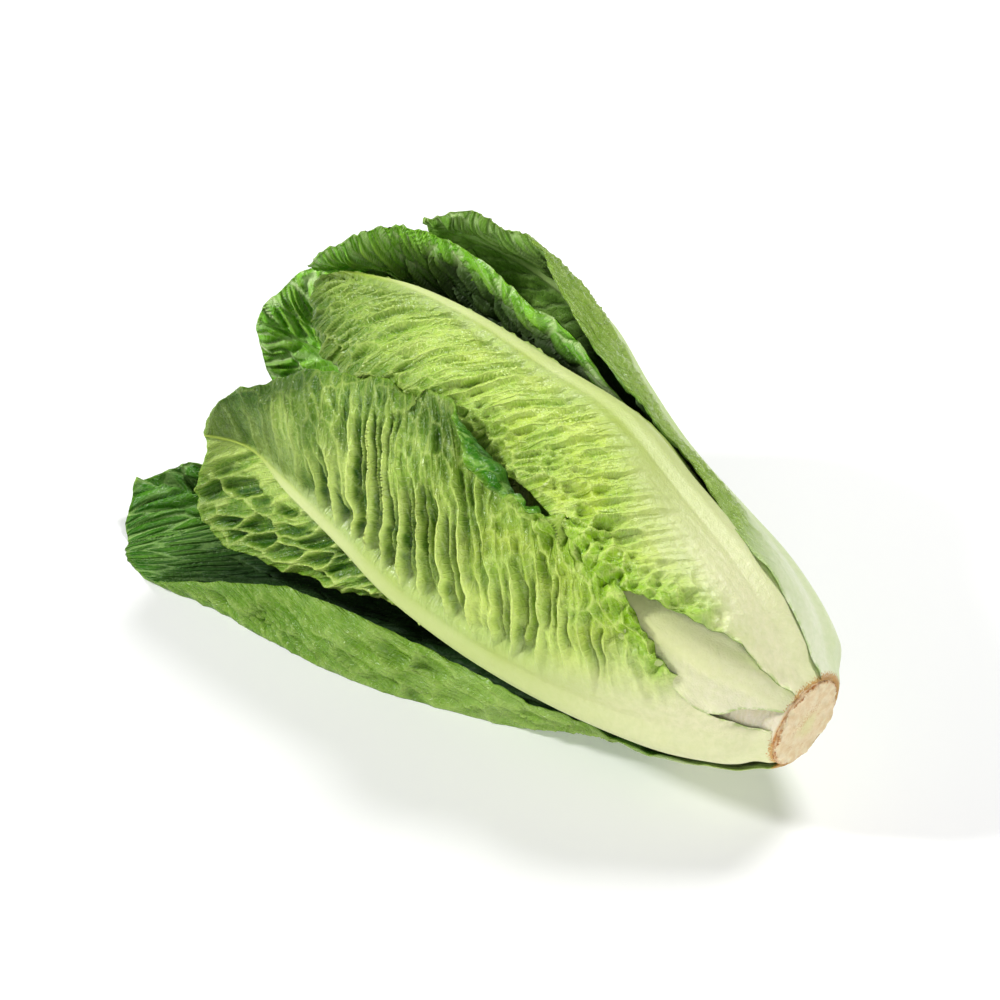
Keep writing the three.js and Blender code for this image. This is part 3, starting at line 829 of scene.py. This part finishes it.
def make_piece(name, places, faces, nodes, finish, values=None):
    """A smooth mesh object in metres that stands for CAD nodes and rides on the head."""
    mesh = bpy.data.meshes.new(name)
    mesh.from_pydata((places * MM).tolist(), [], faces)
    for key, numbers in (values or {}).items():
        kind, member = ("FLOAT_VECTOR", "vector") if numbers.ndim == 2 else ("FLOAT", "value")
        attribute = mesh.attributes.new(key, kind, "POINT")
        attribute.data.foreach_set(member, numbers.astype(np.float32).ravel())
    mesh.polygons.foreach_set("use_smooth", np.ones(len(mesh.polygons), bool))
    mesh.validate()
    piece = bpy.data.objects.new(name, mesh)
    bpy.context.scene.collection.objects.link(piece)
    mesh.materials.append(finish)
    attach(piece, "root")
    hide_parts(*nodes)
    return piece


def scallops(sheet, depth):
    """Steps that nick a leaf's outline, from nothing inside to depth at its edge."""
    steps = 0
    for axis, near, inward in ((1, sheet.to_side, -np.sign(sheet.across)), (0, sheet.to_tip, -1)):
        way = np.gradient(sheet.places, axis=axis)
        way = way / np.maximum(np.linalg.norm(way, axis=-1, keepdims=True), 1e-9)
        steps = steps + way * (depth * inward * np.exp(-near / 4))[..., None]
    return steps


def make_leaf(leaf, node, finish, blade):
    """One leaf as a puckered, ribbed and frilled shell."""
    rows, columns, step = leaf.rows, leaf.columns, leaf.backing
    sheet = lay_out(leaf, rows, columns)
    sheet.places -= BASE_REACH * ease(BASE_BLEND, 0, sheet.up)[..., None] * TOWARD_TIPS
    facts = tissue(leaf, sheet)
    normal = outward(sheet.places)
    both, outer_only = facts.pop("both")[..., None], facts.pop("outer")[..., None]
    sheet.places += scallops(sheet, facts.pop("pull"))
    both = both * (1 - PRESSED * ease(PRESSED_BELOW, 0, sheet.places[..., 2]))[..., None]
    outer = sheet.places + normal * (both + outer_only)
    pressed = outer[..., 2] < 0
    outer[..., 2] = np.maximum(outer[..., 2], 0)
    depth = thickness(sheet, blade) + COARSE_ROOM * (step - 1) * ease(0, 5, sheet.edge)
    inner = sheet.places + normal * (both - depth[..., None])
    inner[..., 2] = np.maximum(inner[..., 2], depth + pressed * np.maximum(-both[..., 0], 0))
    fine, coarse = (inner, outer) if leaf.fine_inside else (outer, inner)
    facts["inner"] = np.full((rows, columns), 1.0 * leaf.fine_inside)
    places = np.concatenate([fine.reshape(-1, 3), coarse[::step, ::step].reshape(-1, 3)])
    values = {}
    for key, fact in facts.items():
        both_faces = (fact, fact[::step, ::step])
        values[key] = np.concatenate([face.reshape(-1, *fact.shape[2:]) for face in both_faces])
    values["inner"][rows * columns :] = 1.0 - leaf.fine_inside
    faces = shell_faces(rows, columns, step, leaf.fine_inside)
    return make_piece(leaf.name, places, faces, [node], finish, values)


def heart_leaf(index, full_radius, angle, wrap, tip):
    """The outline of one leaf of the heart, worked out from its place in the spiral."""
    base = HEART_FIRST_NODE + HEART_NODE_STEP * index
    base_radius = np.interp(base, STEM_PROFILE[:, 0], STEM_PROFILE[:, 1]) + RIB_AT_BASE + 0.6
    filling = 1 - np.maximum(0, 1 - HEART_ROWS / HEART_FULLEST) ** 2
    beyond = np.maximum(0, (HEART_ROWS - HEART_FULLEST) / (1 - HEART_FULLEST))
    closing = 1 - (1 - HEART_TIP_RADIUS) * beyond**2
    radius = (base_radius + (full_radius - base_radius) * filling) * closing
    spread = wrap * (0.55 + 0.45 * np.sin(math.pi * np.minimum(1, 0.12 + HEART_ROWS * 0.9)))
    lines = {}
    for side in (-1, 0, 1):
        along = base + (tip - base) * HEART_ROWS - abs(side) * 20 * HEART_ROWS**6
        lines[side] = tuple(zip(along, radius, angle + side * spread))
    return Leaf(
        name=f"heart_leaf_{index + 1}",
        slot="pale_leaf" if index < 2 else "heart_leaf",
        left=lines[-1],
        rib=lines[0],
        right=lines[1],
        wave=(HEART_WAVE, 5, 1.3 * index),
        rows=64,
        columns=31,
        pleat=(0.3, 0.3),
        wrinkle=(0.8, 0.8),
        pouch=(0.8, 0.8),
        keel=(0.4, 0.2),
        petiole=(26, 70),
        frill=(0.8, 10),
        sway=0.6,
        green="heart",
        seed=90 + 13 * index,
    )


def stem_mesh(crumbs):
    """The cut face, its rim and the cone inside the leaves, as rings of points."""
    rings = [(-CUT_TRIM, radius) for radius in np.linspace(0.6, CUT_RADIUS - CUT_BEVEL, 26)]
    rings += STEM_RINGS
    along, radius = (np.array(column)[:, None] for column in zip(*rings))
    angle = np.linspace(0, 360, STEM_SIDES, endpoint=False)[None, :]
    turn = np.radians(angle)
    x, y = radius * np.cos(turn), radius * np.sin(turn)
    on_cut = (along < 1.8) * 1.0
    rim = ease(13.5, 18.5, radius) * on_cut
    rough = 0.25 * hills(x, y, 3.2, 301) + crumbs * rim * hills(x, y, 2.4, 302)
    rough = rough + 0.5 * rim * hills(x, y, 6, 303)
    along = along - on_cut * rough + 0.5 * on_cut * ease(17.5, 19.5, radius)
    radius = radius * (1 + 0.02 * rim * hills(x, y, 5, 304)) + 0.0 * turn
    places = head_point(along + 0.0 * turn, radius, angle + 0.0 * radius)
    last = len(rings) * STEM_SIDES
    corner = np.arange(last).reshape(-1, STEM_SIDES)
    beside = np.roll(corner, -1, axis=1)
    walls = np.stack([corner[:-1], beside[:-1], beside[1:], corner[1:]], -1).reshape(-1, 4)
    places = np.concatenate([places.reshape(-1, 3), places[[0, -1]].mean(axis=1)])
    caps = [(last, beside[0, k], corner[0, k]) for k in range(STEM_SIDES)]
    caps += [(last + 1, corner[-1, k], beside[-1, k]) for k in range(STEM_SIDES)]
    return places, walls.tolist() + [list(cap) for cap in caps]


# ---- Finishes ---------------------------------------------------------------------------------
class Wire:
    """A socket that takes part in sums: each sum adds a Math node."""

    def __init__(self, finish, socket):
        self.finish = finish
        self.socket = socket

    def sum(self, operation, *numbers, clamp=False):
        """The outcome of one Math node."""
        settings = {"operation": operation, "use_clamp": clamp}
        node = self.finish.node("ShaderNodeMath", settings, dict(enumerate(numbers)))
        return Wire(self.finish, node.outputs[0])

    def __add__(self, other):
        return self.sum("ADD", self, other)

    __radd__ = __add__

    def __sub__(self, other):
        return self.sum("SUBTRACT", self, other)

    def __rsub__(self, other):
        return self.sum("SUBTRACT", other, self)

    def __mul__(self, other):
        return self.sum("MULTIPLY", self, other)

    __rmul__ = __mul__

    def __truediv__(self, other):
        return self.sum("DIVIDE", self, other)

    def __rtruediv__(self, other):
        return self.sum("DIVIDE", other, self)

    def __abs__(self):
        return self.sum("ABSOLUTE", self)

    def fraction(self):
        """What is left past the whole number below."""
        return self.sum("FRACT", self)

    def clamp(self):
        """Held between 0 and 1."""
        return self.sum("ADD", self, 0.0, clamp=True)

    def ease(self, low, high):
        """0 below low, 1 above high and a smooth climb between."""
        settings = {"interpolation_type": "SMOOTHSTEP"}
        swapped = low > high
        values = {0: self, 1: min(low, high), 2: max(low, high), 3: 1.0 * swapped, 4: 1.0 - swapped}
        return Wire(self.finish, self.finish.node("ShaderNodeMapRange", settings, values).outputs[0])


class Finish:
    """A material under construction on one Principled surface."""

    def __init__(self, name, **constants):
        self.material = bpy.data.materials.new(name)
        self.material.use_nodes = True
        self.tree = self.material.node_tree
        self.tree.nodes.clear()
        self.surface = self.node("ShaderNodeBsdfPrincipled", {}, constants)
        self.node("ShaderNodeOutputMaterial", {}, {"Surface": self.surface.outputs[0]})

    def node(self, kind, settings=None, values=None):
        """Add a node, apply its settings, then set or link its sockets."""
        node = self.tree.nodes.new(kind)
        for key, setting in (settings or {}).items():
            setattr(node, key, setting)
        for key, value in (values or {}).items():
            self.feed(node.inputs[key], value)
        return node

    def feed(self, socket, value):
        """Link a socket to a Wire or another socket, or set its value."""
        if isinstance(value, Wire):
            self.tree.links.new(value.socket, socket)
        elif isinstance(value, bpy.types.NodeSocket):
            self.tree.links.new(value, socket)
        else:
            socket.default_value = value

    def attribute(self, name):
        """A number that the mesh holds for every point."""
        node = self.node("ShaderNodeAttribute", {"attribute_name": name})
        return Wire(self, node.outputs["Fac"])

    def place(self, name, scale):
        """A vector attribute in millimetres, scaled."""
        node = self.node("ShaderNodeAttribute", {"attribute_name": name})
        values = {0: node.outputs["Vector"], 1: scale}
        return self.node("ShaderNodeVectorMath", {"operation": "MULTIPLY"}, values).outputs[0]

    def noise(self, place, detail=2.0, roughness=0.5, distortion=0.0):
        """Cloudy numbers round 0.5."""
        values = {"Vector": place, "Scale": 1.0, "Detail": detail}
        values.update({"Roughness": roughness, "Distortion": distortion})
        return Wire(self, self.node("ShaderNodeTexNoise", {}, values).outputs["Fac"])

    def cells(self, place):
        """How far inside its cell a place is."""
        settings = {"feature": "DISTANCE_TO_EDGE"}
        node = self.node("ShaderNodeTexVoronoi", settings, {"Vector": place, "Scale": 1.0})
        return Wire(self, node.outputs["Distance"])

    def mix(self, factor, low, high):
        """A colour between low and high."""
        settings = {"data_type": "RGBA"}
        node = self.node("ShaderNodeMix", settings, {0: factor, 6: low, 7: high})
        return node.outputs[2]

    def end(self, **sockets):
        """Feed the surface and hand over the material."""
        for key, value in sockets.items():
            self.feed(self.surface.inputs[key.replace("_", " ")], value)
        return self.material

    def bump(self, height, strength, distance):
        """A normal that follows a height."""
        node = self.node("ShaderNodeBump", {}, {"Strength": strength, "Distance": distance, "Height": height})
        return node.outputs[0]


def leaf_finish(name, colours):
    """Leaf tissue: cream ribs, pale side veins, a fine net and green pouches, darker on the inner face."""
    finish = Finish(
        name,
        **{
            "Subsurface Weight": 0.08,
            "Subsurface Radius": (1.0, 1.4, 0.25),
            "Subsurface Scale": 1.0 * MM,
            "Specular IOR Level": 0.3,
        },
    )
    pale, rib, hollow, dusk = (finish.attribute(key) for key in ("pale", "rib", "hollow", "dusk"))
    inner, edge, reach, part = (finish.attribute(key) for key in ("inner", "edge", "reach", "part"))
    cavity, bloom = finish.attribute("cavity"), finish.attribute("bloom")
    count, crest, age, lace = (finish.attribute(key) for key in ("vein", "crest", "age", "lace"))
    into_pocket = finish.attribute("pocket")
    pocket = into_pocket.ease(0.22, 0.04)
    patch = finish.noise(finish.place("flat", (0.055, 0.055, 1)), 3.0)
    mottle = finish.noise(finish.place("flat", (0.35, 0.35, 1)), 3.0, 0.6)
    grain = finish.noise(finish.place("flat", (1.3, 1.3, 1)), 2.0, 0.6)
    crease = (abs(finish.noise(finish.place("course", (0.26, 0.04, 1)), 2.0, 0.55, 0.3) - 0.5) * 6).clamp()

    to_vein = 0.5 - abs(count.fraction() - 0.5)
    vein_width = 0.07 + 0.2 / (1.0 + reach * reach * 0.008)
    vein = (to_vein / vein_width).ease(1.1, 0.3)
    net = finish.cells(finish.place("flat", (0.4, 0.4, 1))).ease(0.14, 0.0) * 0.4
    lines = (vein * 0.2 + crest + (1 - crease) * 0.25 + net * (1 - vein)).clamp()

    young = finish.mix(patch.ease(0.3, 0.7), colours["young"], colours["light"])
    fresh = (patch.ease(0.3, 0.7) * 0.9 + 0.35 - 0.5 * age).clamp()
    green = finish.mix(fresh, colours["blade"], colours["light"])
    green = finish.mix((age + 0.5 * patch - 0.25).ease(0.1, 0.75), young, green)
    green = finish.mix((lace * (0.9 + 0.8 * mottle)).clamp(), green, colours["lime"])
    green = finish.mix(dusk * (0.7 + 0.3 * patch), green, colours["dusk"])
    # The crests and veins are painted paler: pale veins, and a painted highlight along the crests.
    green = finish.mix((lines * 0.6 + crest * 0.2).clamp() * (1 - 0.8 * dusk), green, colours["vein"])
    # Painted shade: the blade is painted darker toward the bottoms of its folds.
    shade = hollow.ease(0.3, 1.0) * (0.6 + 0.4 * crease) * (0.5 + age).clamp()
    green = finish.mix((shade * (0.75 + 0.5 * mottle)).clamp(), green, colours["deep"])
    # Painted light and shade: the inner face is painted lighter on its pouches and darker toward the veins
    # between them.
    below = finish.mix((hollow + patch - 0.5).clamp(), colours["inner"], colours["inner_light"])
    below = finish.mix((pocket * 0.6 + vein * 0.25 + net * 0.35).clamp(), below, colours["inner_vein"])
    # Painted shade: the inner face deep in the head is painted near black.
    below = finish.mix(cavity * 0.92, below, colours["cavity"])
    green = finish.mix(inner, green, below)
    # Painted light: the thin edge is painted lighter, as if lit through.
    green = finish.mix(edge.ease(2.2, 0.3) * 0.35, green, colours["light"])
    base = finish.mix(part.ease(0.02, 0.5), colours["cream"], colours["cream_green"])
    base = finish.mix(mottle.ease(0.2, 0.8) * 0.25, base, colours["cream_green"])
    # The blade beside the midrib is painted paler: pale tissue and a painted whitish sheen.
    green = finish.mix((bloom * (0.55 + 0.6 * mottle) * (1 - inner)).clamp(), green, colours["bloom"])
    colour = finish.mix((pale * (1 - 0.7 * inner) * (1 - 0.75 * lace)).clamp(), green, base)
    colour = finish.mix((rib * (0.85 - 0.5 * pale * (1 - age) - 0.4 * inner)).clamp(), colour, colours["rib"])

    colour = finish.mix(edge.ease(1.8, 0.3) * pale * 0.5 * mottle.ease(0.35, 0.6), colour, colours["lime"])
    colour = finish.mix((part + 0.02 * (grain - 0.5)).ease(0.006, 0.002) * 0.9, colour, colours["scar"])

    height = (vein * 0.4 + net * 0.7) * (1 - 2 * inner) + (1 - crease) * 0.9 * (1 - inner)
    height = height * (1 - pale) + mottle * 0.6 + grain * 0.35 + into_pocket.ease(0, 0.5) * inner * 3.5
    normal = finish.bump(height, 0.85, 0.7 * MM)
    rough = 0.17 + 0.18 * mottle + 0.14 * pale + 0.1 * dusk - 0.04 * inner + 0.4 * cavity * inner
    return finish.end(Base_Color=colour, Roughness=rough, Normal=normal)


def hexed(code):
    """A colour from its six-digit web code, in linear light."""
    parts = [int(code[k : k + 2], 16) / 255 for k in (0, 2, 4)]
    return tuple(p / 12.92 if p < 0.04045 else ((p + 0.055) / 1.055) ** 2.4 for p in parts) + (1.0,)


EVERY_LEAF = {"lime": "8cbc14", "scar": "cc9448", "bloom": "c6d698"}
COLOURS = {
    # The back leaves' inner faces are painted brighter than their own green, as painted light on faces the
    # lamps barely reach.
    "outside": {
        **EVERY_LEAF,
        "young": "8eae54", "blade": "62941c", "light": "7cac2c", "dusk": "4c7c12", "deep": "386410",
        "vein": "a4c45c", "inner": "7cca28", "inner_light": "bce860", "inner_vein": "e4f8b8",
        "cavity": "061c02", "cream": "dce2ae", "cream_green": "aac864", "rib": "bcd47c",
    },
    # The bottom leaf's inner face is painted darker, as shade: a shaded copy of the same outer leaf green.
    "bottom": {
        **EVERY_LEAF,
        "young": "8eae54", "blade": "5e8e1c", "light": "78a42c", "dusk": "547f18", "deep": "386410",
        "vein": "a8c664", "inner": "2c680e", "inner_light": "649c2c", "inner_vein": "a0c870",
        "cavity": "0e3406", "cream": "dce2ae", "cream_green": "aac864", "rib": "bcd47c",
    },
    "wrapper": {
        **EVERY_LEAF,
        "young": "9cb862", "blade": "729828", "light": "84a838", "dusk": "5c8820", "deep": "527822",
        "vein": "a8c268", "inner": "78ac3c", "inner_light": "b4d670", "inner_vein": "c8e498",
        "cavity": "0e2e04", "cream": "eaeed0", "cream_green": "b4cc80", "rib": "c4d890",
    },
    "face": {
        **EVERY_LEAF,
        "young": "b8d23c", "blade": "609614", "light": "90bc34", "dusk": "244c02", "deep": "2a5804",
        "vein": "def088", "inner": "2c7208", "inner_light": "5c9c18", "inner_vein": "a0cc60",
        "cavity": "1c4c08", "cream": "f2eec6", "cream_green": "a8be4c", "rib": "dce4a8",
    },
    "heart": {
        **EVERY_LEAF,
        "young": "b8d048", "blade": "80b020", "light": "a8cc3c", "dusk": "80b020", "deep": "4c8a0c",
        "vein": "d8e490", "inner": "86ae38", "inner_light": "aac454", "inner_vein": "d4dc98",
        "cavity": "4c8a0c", "cream": "f6f2d0", "cream_green": "c8d670", "rib": "e2e8a0",
    },
    "stem": {
        "pith": "f2e2bc", "pith_dark": "e6cc9c", "centre": "e4e0a0", "rim": "cc9450", "rim_dark": "9c5c22",
        "skin": "efe6cc", "skin_dark": "e6deb8",
    },
    "floor": {"paint": "e9e9e9"},
}
COLOUR_NOTES = {
    "young": "the blade near the base",
    "blade": "the older blade",
    # the light colour also paints the thin edge as lit through
    "light": "lighter patches and the thin edge",
    "dusk": "the blade round the tip",
    # the fold colour is painted shade at the bottoms of the folds
    "deep": "the bottoms of the folds",
    # the vein colour is also the painted highlight on the crests
    "vein": "the raised veins",
    "inner": "the inner face, between its pouches",
    # the inner pouch colour is partly painted light on the pouch tops
    "inner_light": "the pouches of the inner face",
    "inner_vein": "the veins of the inner face",
    # the cavity colour is painted shade
    "cavity": "the inner face deep in the head",
    "cream": "the midrib's flesh at the base",
    "cream_green": "the midrib's flesh farther up",
    "rib": "the midrib's ridge",
    "lime": "the crinkled stretch of edge",
    "scar": "where the leaf's base was cut",
    # the whitish colour beside the midrib is partly painted sheen
    "bloom": "the whitish blade beside the midrib",
    "pith": "the cut face",
    "pith_dark": "darker patches of the cut face",
    "centre": "the middle of the cut face",
    "rim": "the browned rim",
    "rim_dark": "the darkest spots of the rim",
    "skin": "the stem behind the cut",
    "skin_dark": "darker patches of that skin",
    "paint": "the floor",
}


def stem_finish(colours):
    """The cut: tan pith, a brown crumbly rim and pinkish stem skin behind it."""
    finish = Finish("cut_stem", **{"Subsurface Weight": 0.1, "Subsurface Scale": 1.5 * MM})
    from_axis, behind = finish.attribute("from_axis"), finish.attribute("behind")
    patch = finish.noise(finish.place("flat", (0.11, 0.11, 1)), 2.0)
    mottle = finish.noise(finish.place("flat", (0.25, 0.25, 1)), 4.0, 0.6)
    speck = finish.noise(finish.place("flat", (1.1, 1.1, 1)), 3.0, 0.7)
    pith = finish.mix(mottle.ease(0.3, 0.7), colours["pith"], colours["pith_dark"])
    pith = finish.mix((from_axis + 9 * patch).ease(14, 6) * 0.7, pith, colours["centre"])
    pith = finish.mix(patch.ease(0.52, 0.66) * speck.ease(0.48, 0.6) * 0.6, pith, colours["rim"])
    rim = finish.mix(speck.ease(0.35, 0.65), colours["rim"], colours["rim_dark"])
    ringed = (from_axis + 3.4 * speck - 1.7).ease(17.9, 18.9) * (behind + 2.5 * mottle).ease(2.6, 1.2)
    ringed = ringed * (0.4 + 0.6 * patch.ease(0.4, 0.56))
    skin = finish.mix(mottle.ease(0.3, 0.7), colours["skin"], colours["skin_dark"])
    colour = finish.mix(behind.ease(0.4, 1.4), pith, skin)
    colour = finish.mix(ringed, colour, rim)
    normal = finish.bump(mottle + 0.7 * speck, 0.8, 0.6 * MM)
    return finish.end(Base_Color=colour, Roughness=0.6 + 0.2 * speck, Normal=normal)


# ---- Add-on -----------------------------------------------------------------------------------
def scale_property(name, description):
    """A property that scales something about its natural size."""
    return bpy.props.FloatProperty(
        name=name, description=description, default=1, min=0, max=2, subtype="FACTOR"
    )


def power_property(name, description, watts):
    """The power of a light."""
    return bpy.props.FloatProperty(name=name, description=description, default=watts, min=0, unit="POWER")


class RomaineSizes(bpy.types.PropertyGroup):
    """Sizes that a user would change"""

    blade_thickness: bpy.props.FloatProperty(
        name="Blade thickness",
        description="Thickness of a leaf away from its midrib",
        default=BLADE * MM,
        min=0.2 * MM,
        max=2 * MM,
        precision=4,
        unit="LENGTH",
    )
    rim_roughness: bpy.props.FloatProperty(
        name="Rim roughness",
        description="Height of the crumbs round the cut face",
        default=0.9 * MM,
        min=0,
        max=2 * MM,
        precision=4,
        unit="LENGTH",
    )
    floor_size: bpy.props.FloatProperty(
        name="Floor size", description="Length of the floor's sides", default=8, min=1, unit="LENGTH"
    )
    key_power: power_property("Key light", "Power of the light at the front left", 22.5)
    back_power: power_property("Back light", "Power of the light above and behind", 18)
    side_power: power_property("Side light", "Power of the light that faces the cut", 8.5)
    pleat_depth: scale_property("Pleat depth", "How deep the blade folds between its veins")
    blister_depth: scale_property("Blister depth", "How deep the blade bags out in pouches")
    midrib_height: scale_property("Midrib height", "How proud the midribs stand")
    frill_height: scale_property("Frill height", "How much the edges frill")


def colour_group(part, palette):
    """A PropertyGroup with a property for every colour of one palette."""
    notes = {}
    for key, code in palette.items():
        notes[key] = bpy.props.FloatVectorProperty(
            name=key.replace("_", " ").capitalize(),
            description=f"Colour of {COLOUR_NOTES[key]}",
            default=hexed(code),
            size=4,
            min=0,
            max=1,
            subtype="COLOR",
        )
    facts = {"__annotations__": notes, "__doc__": f"Colours of the {part} parts that a user would change"}
    return type(f"Romaine{part.capitalize()}Colours", (bpy.types.PropertyGroup,), facts)


COLOUR_GROUPS = {part: colour_group(part, palette) for part, palette in COLOURS.items()}


def chosen_colours(part):
    """The user's colours for a part, by name."""
    group = getattr(bpy.context.scene, f"romaine_{part}_colours")
    return {key: tuple(getattr(group, key)) for key in COLOURS[part]}


def leaf_material(green):
    """The finish of one palette, made when a leaf first needs it."""
    name = f"leaf_{green}"
    return bpy.data.materials.get(name) or leaf_finish(name, chosen_colours(green))


def resized(leaf, sizes):
    """A leaf with its relief as deep as the user wants."""
    shares = {
        "pleat": sizes.pleat_depth, "wrinkle": sizes.pleat_depth,
        "pouch": sizes.blister_depth, "keel": sizes.midrib_height,
    }
    changes = {key: tuple(factor * depth for depth in getattr(leaf, key)) for key, factor in shares.items()}
    return replace(leaf, frill=(leaf.frill[0] * sizes.frill_height, leaf.frill[1]), **changes)


class ROMAINE_OT_showing_leaves(bpy.types.Operator):
    """Grow the seven leaves that show"""

    bl_idname = "romaine.showing_leaves"
    bl_label = "Showing leaves"

    def execute(self, context):
        nodes = [
            "leaf_bottom_outer", "leaf_back_outer", "leaf_back_upper", "leaf_back_lower",
            "leaf_front", "leaf_top", "leaf_front_inner",
        ]
        sizes = context.scene.romaine_sizes
        for leaf, node in zip(SHOWING_LEAVES, nodes):
            make_leaf(resized(leaf, sizes), node, leaf_material(leaf.green), sizes.blade_thickness / MM)
        return {"FINISHED"}


class ROMAINE_OT_heart_leaves(bpy.types.Operator):
    """Grow the leaves folded inside the head"""

    bl_idname = "romaine.heart_leaves"
    bl_label = "Heart leaves"

    def execute(self, context):
        sizes = context.scene.romaine_sizes
        for index, row in enumerate(HEART_LEAVES):
            leaf = resized(heart_leaf(index, *row), sizes)
            node = f"leaf_heart_{index + 1}"
            make_leaf(leaf, node, leaf_material(leaf.green), sizes.blade_thickness / MM)
        return {"FINISHED"}


class ROMAINE_OT_cut_stem(bpy.types.Operator):
    """Make the trimmed stem with its browned cut face"""

    bl_idname = "romaine.cut_stem"
    bl_label = "Cut stem"

    def execute(self, context):
        places, faces = stem_mesh(context.scene.romaine_sizes.rim_roughness / MM)
        local = (places - CUT_CENTRE) @ np.stack([TOWARD_BACK, ACROSS_UP, TOWARD_TIPS], 1)
        values = {"from_axis": np.hypot(local[:, 0], local[:, 1]), "behind": local[:, 2], "flat": local}
        finish = stem_finish(chosen_colours("stem"))
        make_piece("cut_stem", places, faces, ["stem"], finish, values)
        return {"FINISHED"}


def aim(thing, place, target):
    """Put a light or camera at a place, looking at a target, both in metres."""
    back = np.array(place) - np.array(target)
    back = back / np.linalg.norm(back)
    right = np.cross([0, 0, 1], back)
    right = right / np.linalg.norm(right)
    turn = np.stack([right, np.cross(back, right), back], 1)
    thing.matrix_world = Matrix.Translation(place) @ Matrix(turn.tolist()).to_4x4()


def lay_floor(scene, size):
    """A square pale floor, a little bright of itself."""
    half = size / 2
    corners = [(-half, -half, 0), (half, -half, 0), (half, half, 0), (-half, half, 0)]
    mesh = bpy.data.meshes.new("floor")
    mesh.from_pydata(corners, [], [(0, 1, 2, 3)])
    floor = bpy.data.objects.new("floor", mesh)
    scene.collection.objects.link(floor)
    glow = {"Emission Color": (1, 1, 1, 1), "Emission Strength": FLOOR_GLOW}
    colour = chosen_colours("floor")["paint"]
    paint = Finish("floor_paint", **{"Base Color": colour, "Roughness": 0.9}, **glow)
    mesh.materials.append(paint.material)


def hang_lights(scene, powers):
    """Three soft lights in a faintly lit white room."""
    world = bpy.data.worlds.new("studio")
    world.use_nodes = True
    background = world.node_tree.nodes["Background"]
    background.inputs[0].default_value = (1, 1, 1, 1)
    background.inputs[1].default_value = ROOM_LIGHT
    scene.world = world
    for (name, place, size), watts in zip(LAMPS, powers):
        lamp = bpy.data.lights.new(name, "AREA")
        lamp.shape = "DISK"
        lamp.size = size
        lamp.energy = watts
        light = bpy.data.objects.new(name, lamp)
        scene.collection.objects.link(light)
        aim(light, place, LAMP_TARGET)


def set_camera(scene):
    """A long lens that shows the middle of the cut face at its pixel."""
    az, el = VIEW_AZIMUTH, VIEW_ELEVATION
    right = np.array([math.cos(az), math.sin(az), 0])
    up = np.array([-math.sin(az) * math.sin(el), math.cos(az) * math.sin(el), math.cos(el)])
    back = np.array([math.sin(az) * math.cos(el), -math.cos(az) * math.cos(el), math.sin(el)])
    focal = LENS / SENSOR * PICTURE
    off_right = (CUT_PIXEL[0] - PICTURE / 2) * CUT_DEPTH / focal
    off_up = (PICTURE / 2 - CUT_PIXEL[1]) * CUT_DEPTH / focal
    place = (CUT_CENTRE - off_right * right - off_up * up + CUT_DEPTH * back) * MM
    data = bpy.data.cameras.new("camera")
    data.lens = LENS
    data.sensor_width = SENSOR
    camera = bpy.data.objects.new("camera", data)
    scene.collection.objects.link(camera)
    turn = Matrix(np.stack([right, up, back], 1).tolist()).to_4x4()
    camera.matrix_world = Matrix.Translation(place) @ turn
    scene.camera = camera


class ROMAINE_OT_stage(bpy.types.Operator):
    """Lay the pale floor, hang the soft lights and set the camera"""

    bl_idname = "romaine.stage"
    bl_label = "Stage"

    def execute(self, context):
        scene = context.scene
        sizes = scene.romaine_sizes
        lay_floor(scene, sizes.floor_size)
        hang_lights(scene, (sizes.key_power, sizes.back_power, sizes.side_power))
        set_camera(scene)
        scene.view_settings.view_transform = "Standard"
        return {"FINISHED"}


class ROMAINE_PT_panel(bpy.types.Panel):
    """Lists the steps that build the head"""

    bl_label = "Romaine"
    bl_space_type = "VIEW_3D"
    bl_region_type = "UI"
    bl_category = "Romaine"

    def draw(self, context):
        for operator in OPERATORS:
            self.layout.operator(operator.bl_idname)
        sizes = self.layout.box()
        for key in RomaineSizes.__annotations__:
            sizes.prop(context.scene.romaine_sizes, key)
        for part, palette in COLOURS.items():
            box = self.layout.box()
            box.label(text=part.capitalize())
            for key in palette:
                box.prop(getattr(context.scene, f"romaine_{part}_colours"), key)


OPERATORS = (
    ROMAINE_OT_showing_leaves,
    ROMAINE_OT_heart_leaves,
    ROMAINE_OT_cut_stem,
    ROMAINE_OT_stage,
)
CLASSES = (RomaineSizes, *COLOUR_GROUPS.values(), *OPERATORS, ROMAINE_PT_panel)


def register():
    for kind in CLASSES:
        bpy.utils.register_class(kind)
    bpy.types.Scene.romaine_sizes = bpy.props.PointerProperty(type=RomaineSizes)
    for part, kind in COLOUR_GROUPS.items():
        setattr(bpy.types.Scene, f"romaine_{part}_colours", bpy.props.PointerProperty(type=kind))


def unregister():
    for part in COLOUR_GROUPS:
        delattr(bpy.types.Scene, f"romaine_{part}_colours")
    del bpy.types.Scene.romaine_sizes
    for kind in reversed(CLASSES):
        bpy.utils.unregister_class(kind)


def main():
    register()
    bpy.ops.romaine.showing_leaves()
    bpy.ops.romaine.heart_leaves()
    bpy.ops.romaine.cut_stem()
    bpy.ops.romaine.stage()


if __name__ == "__main__":
    main()
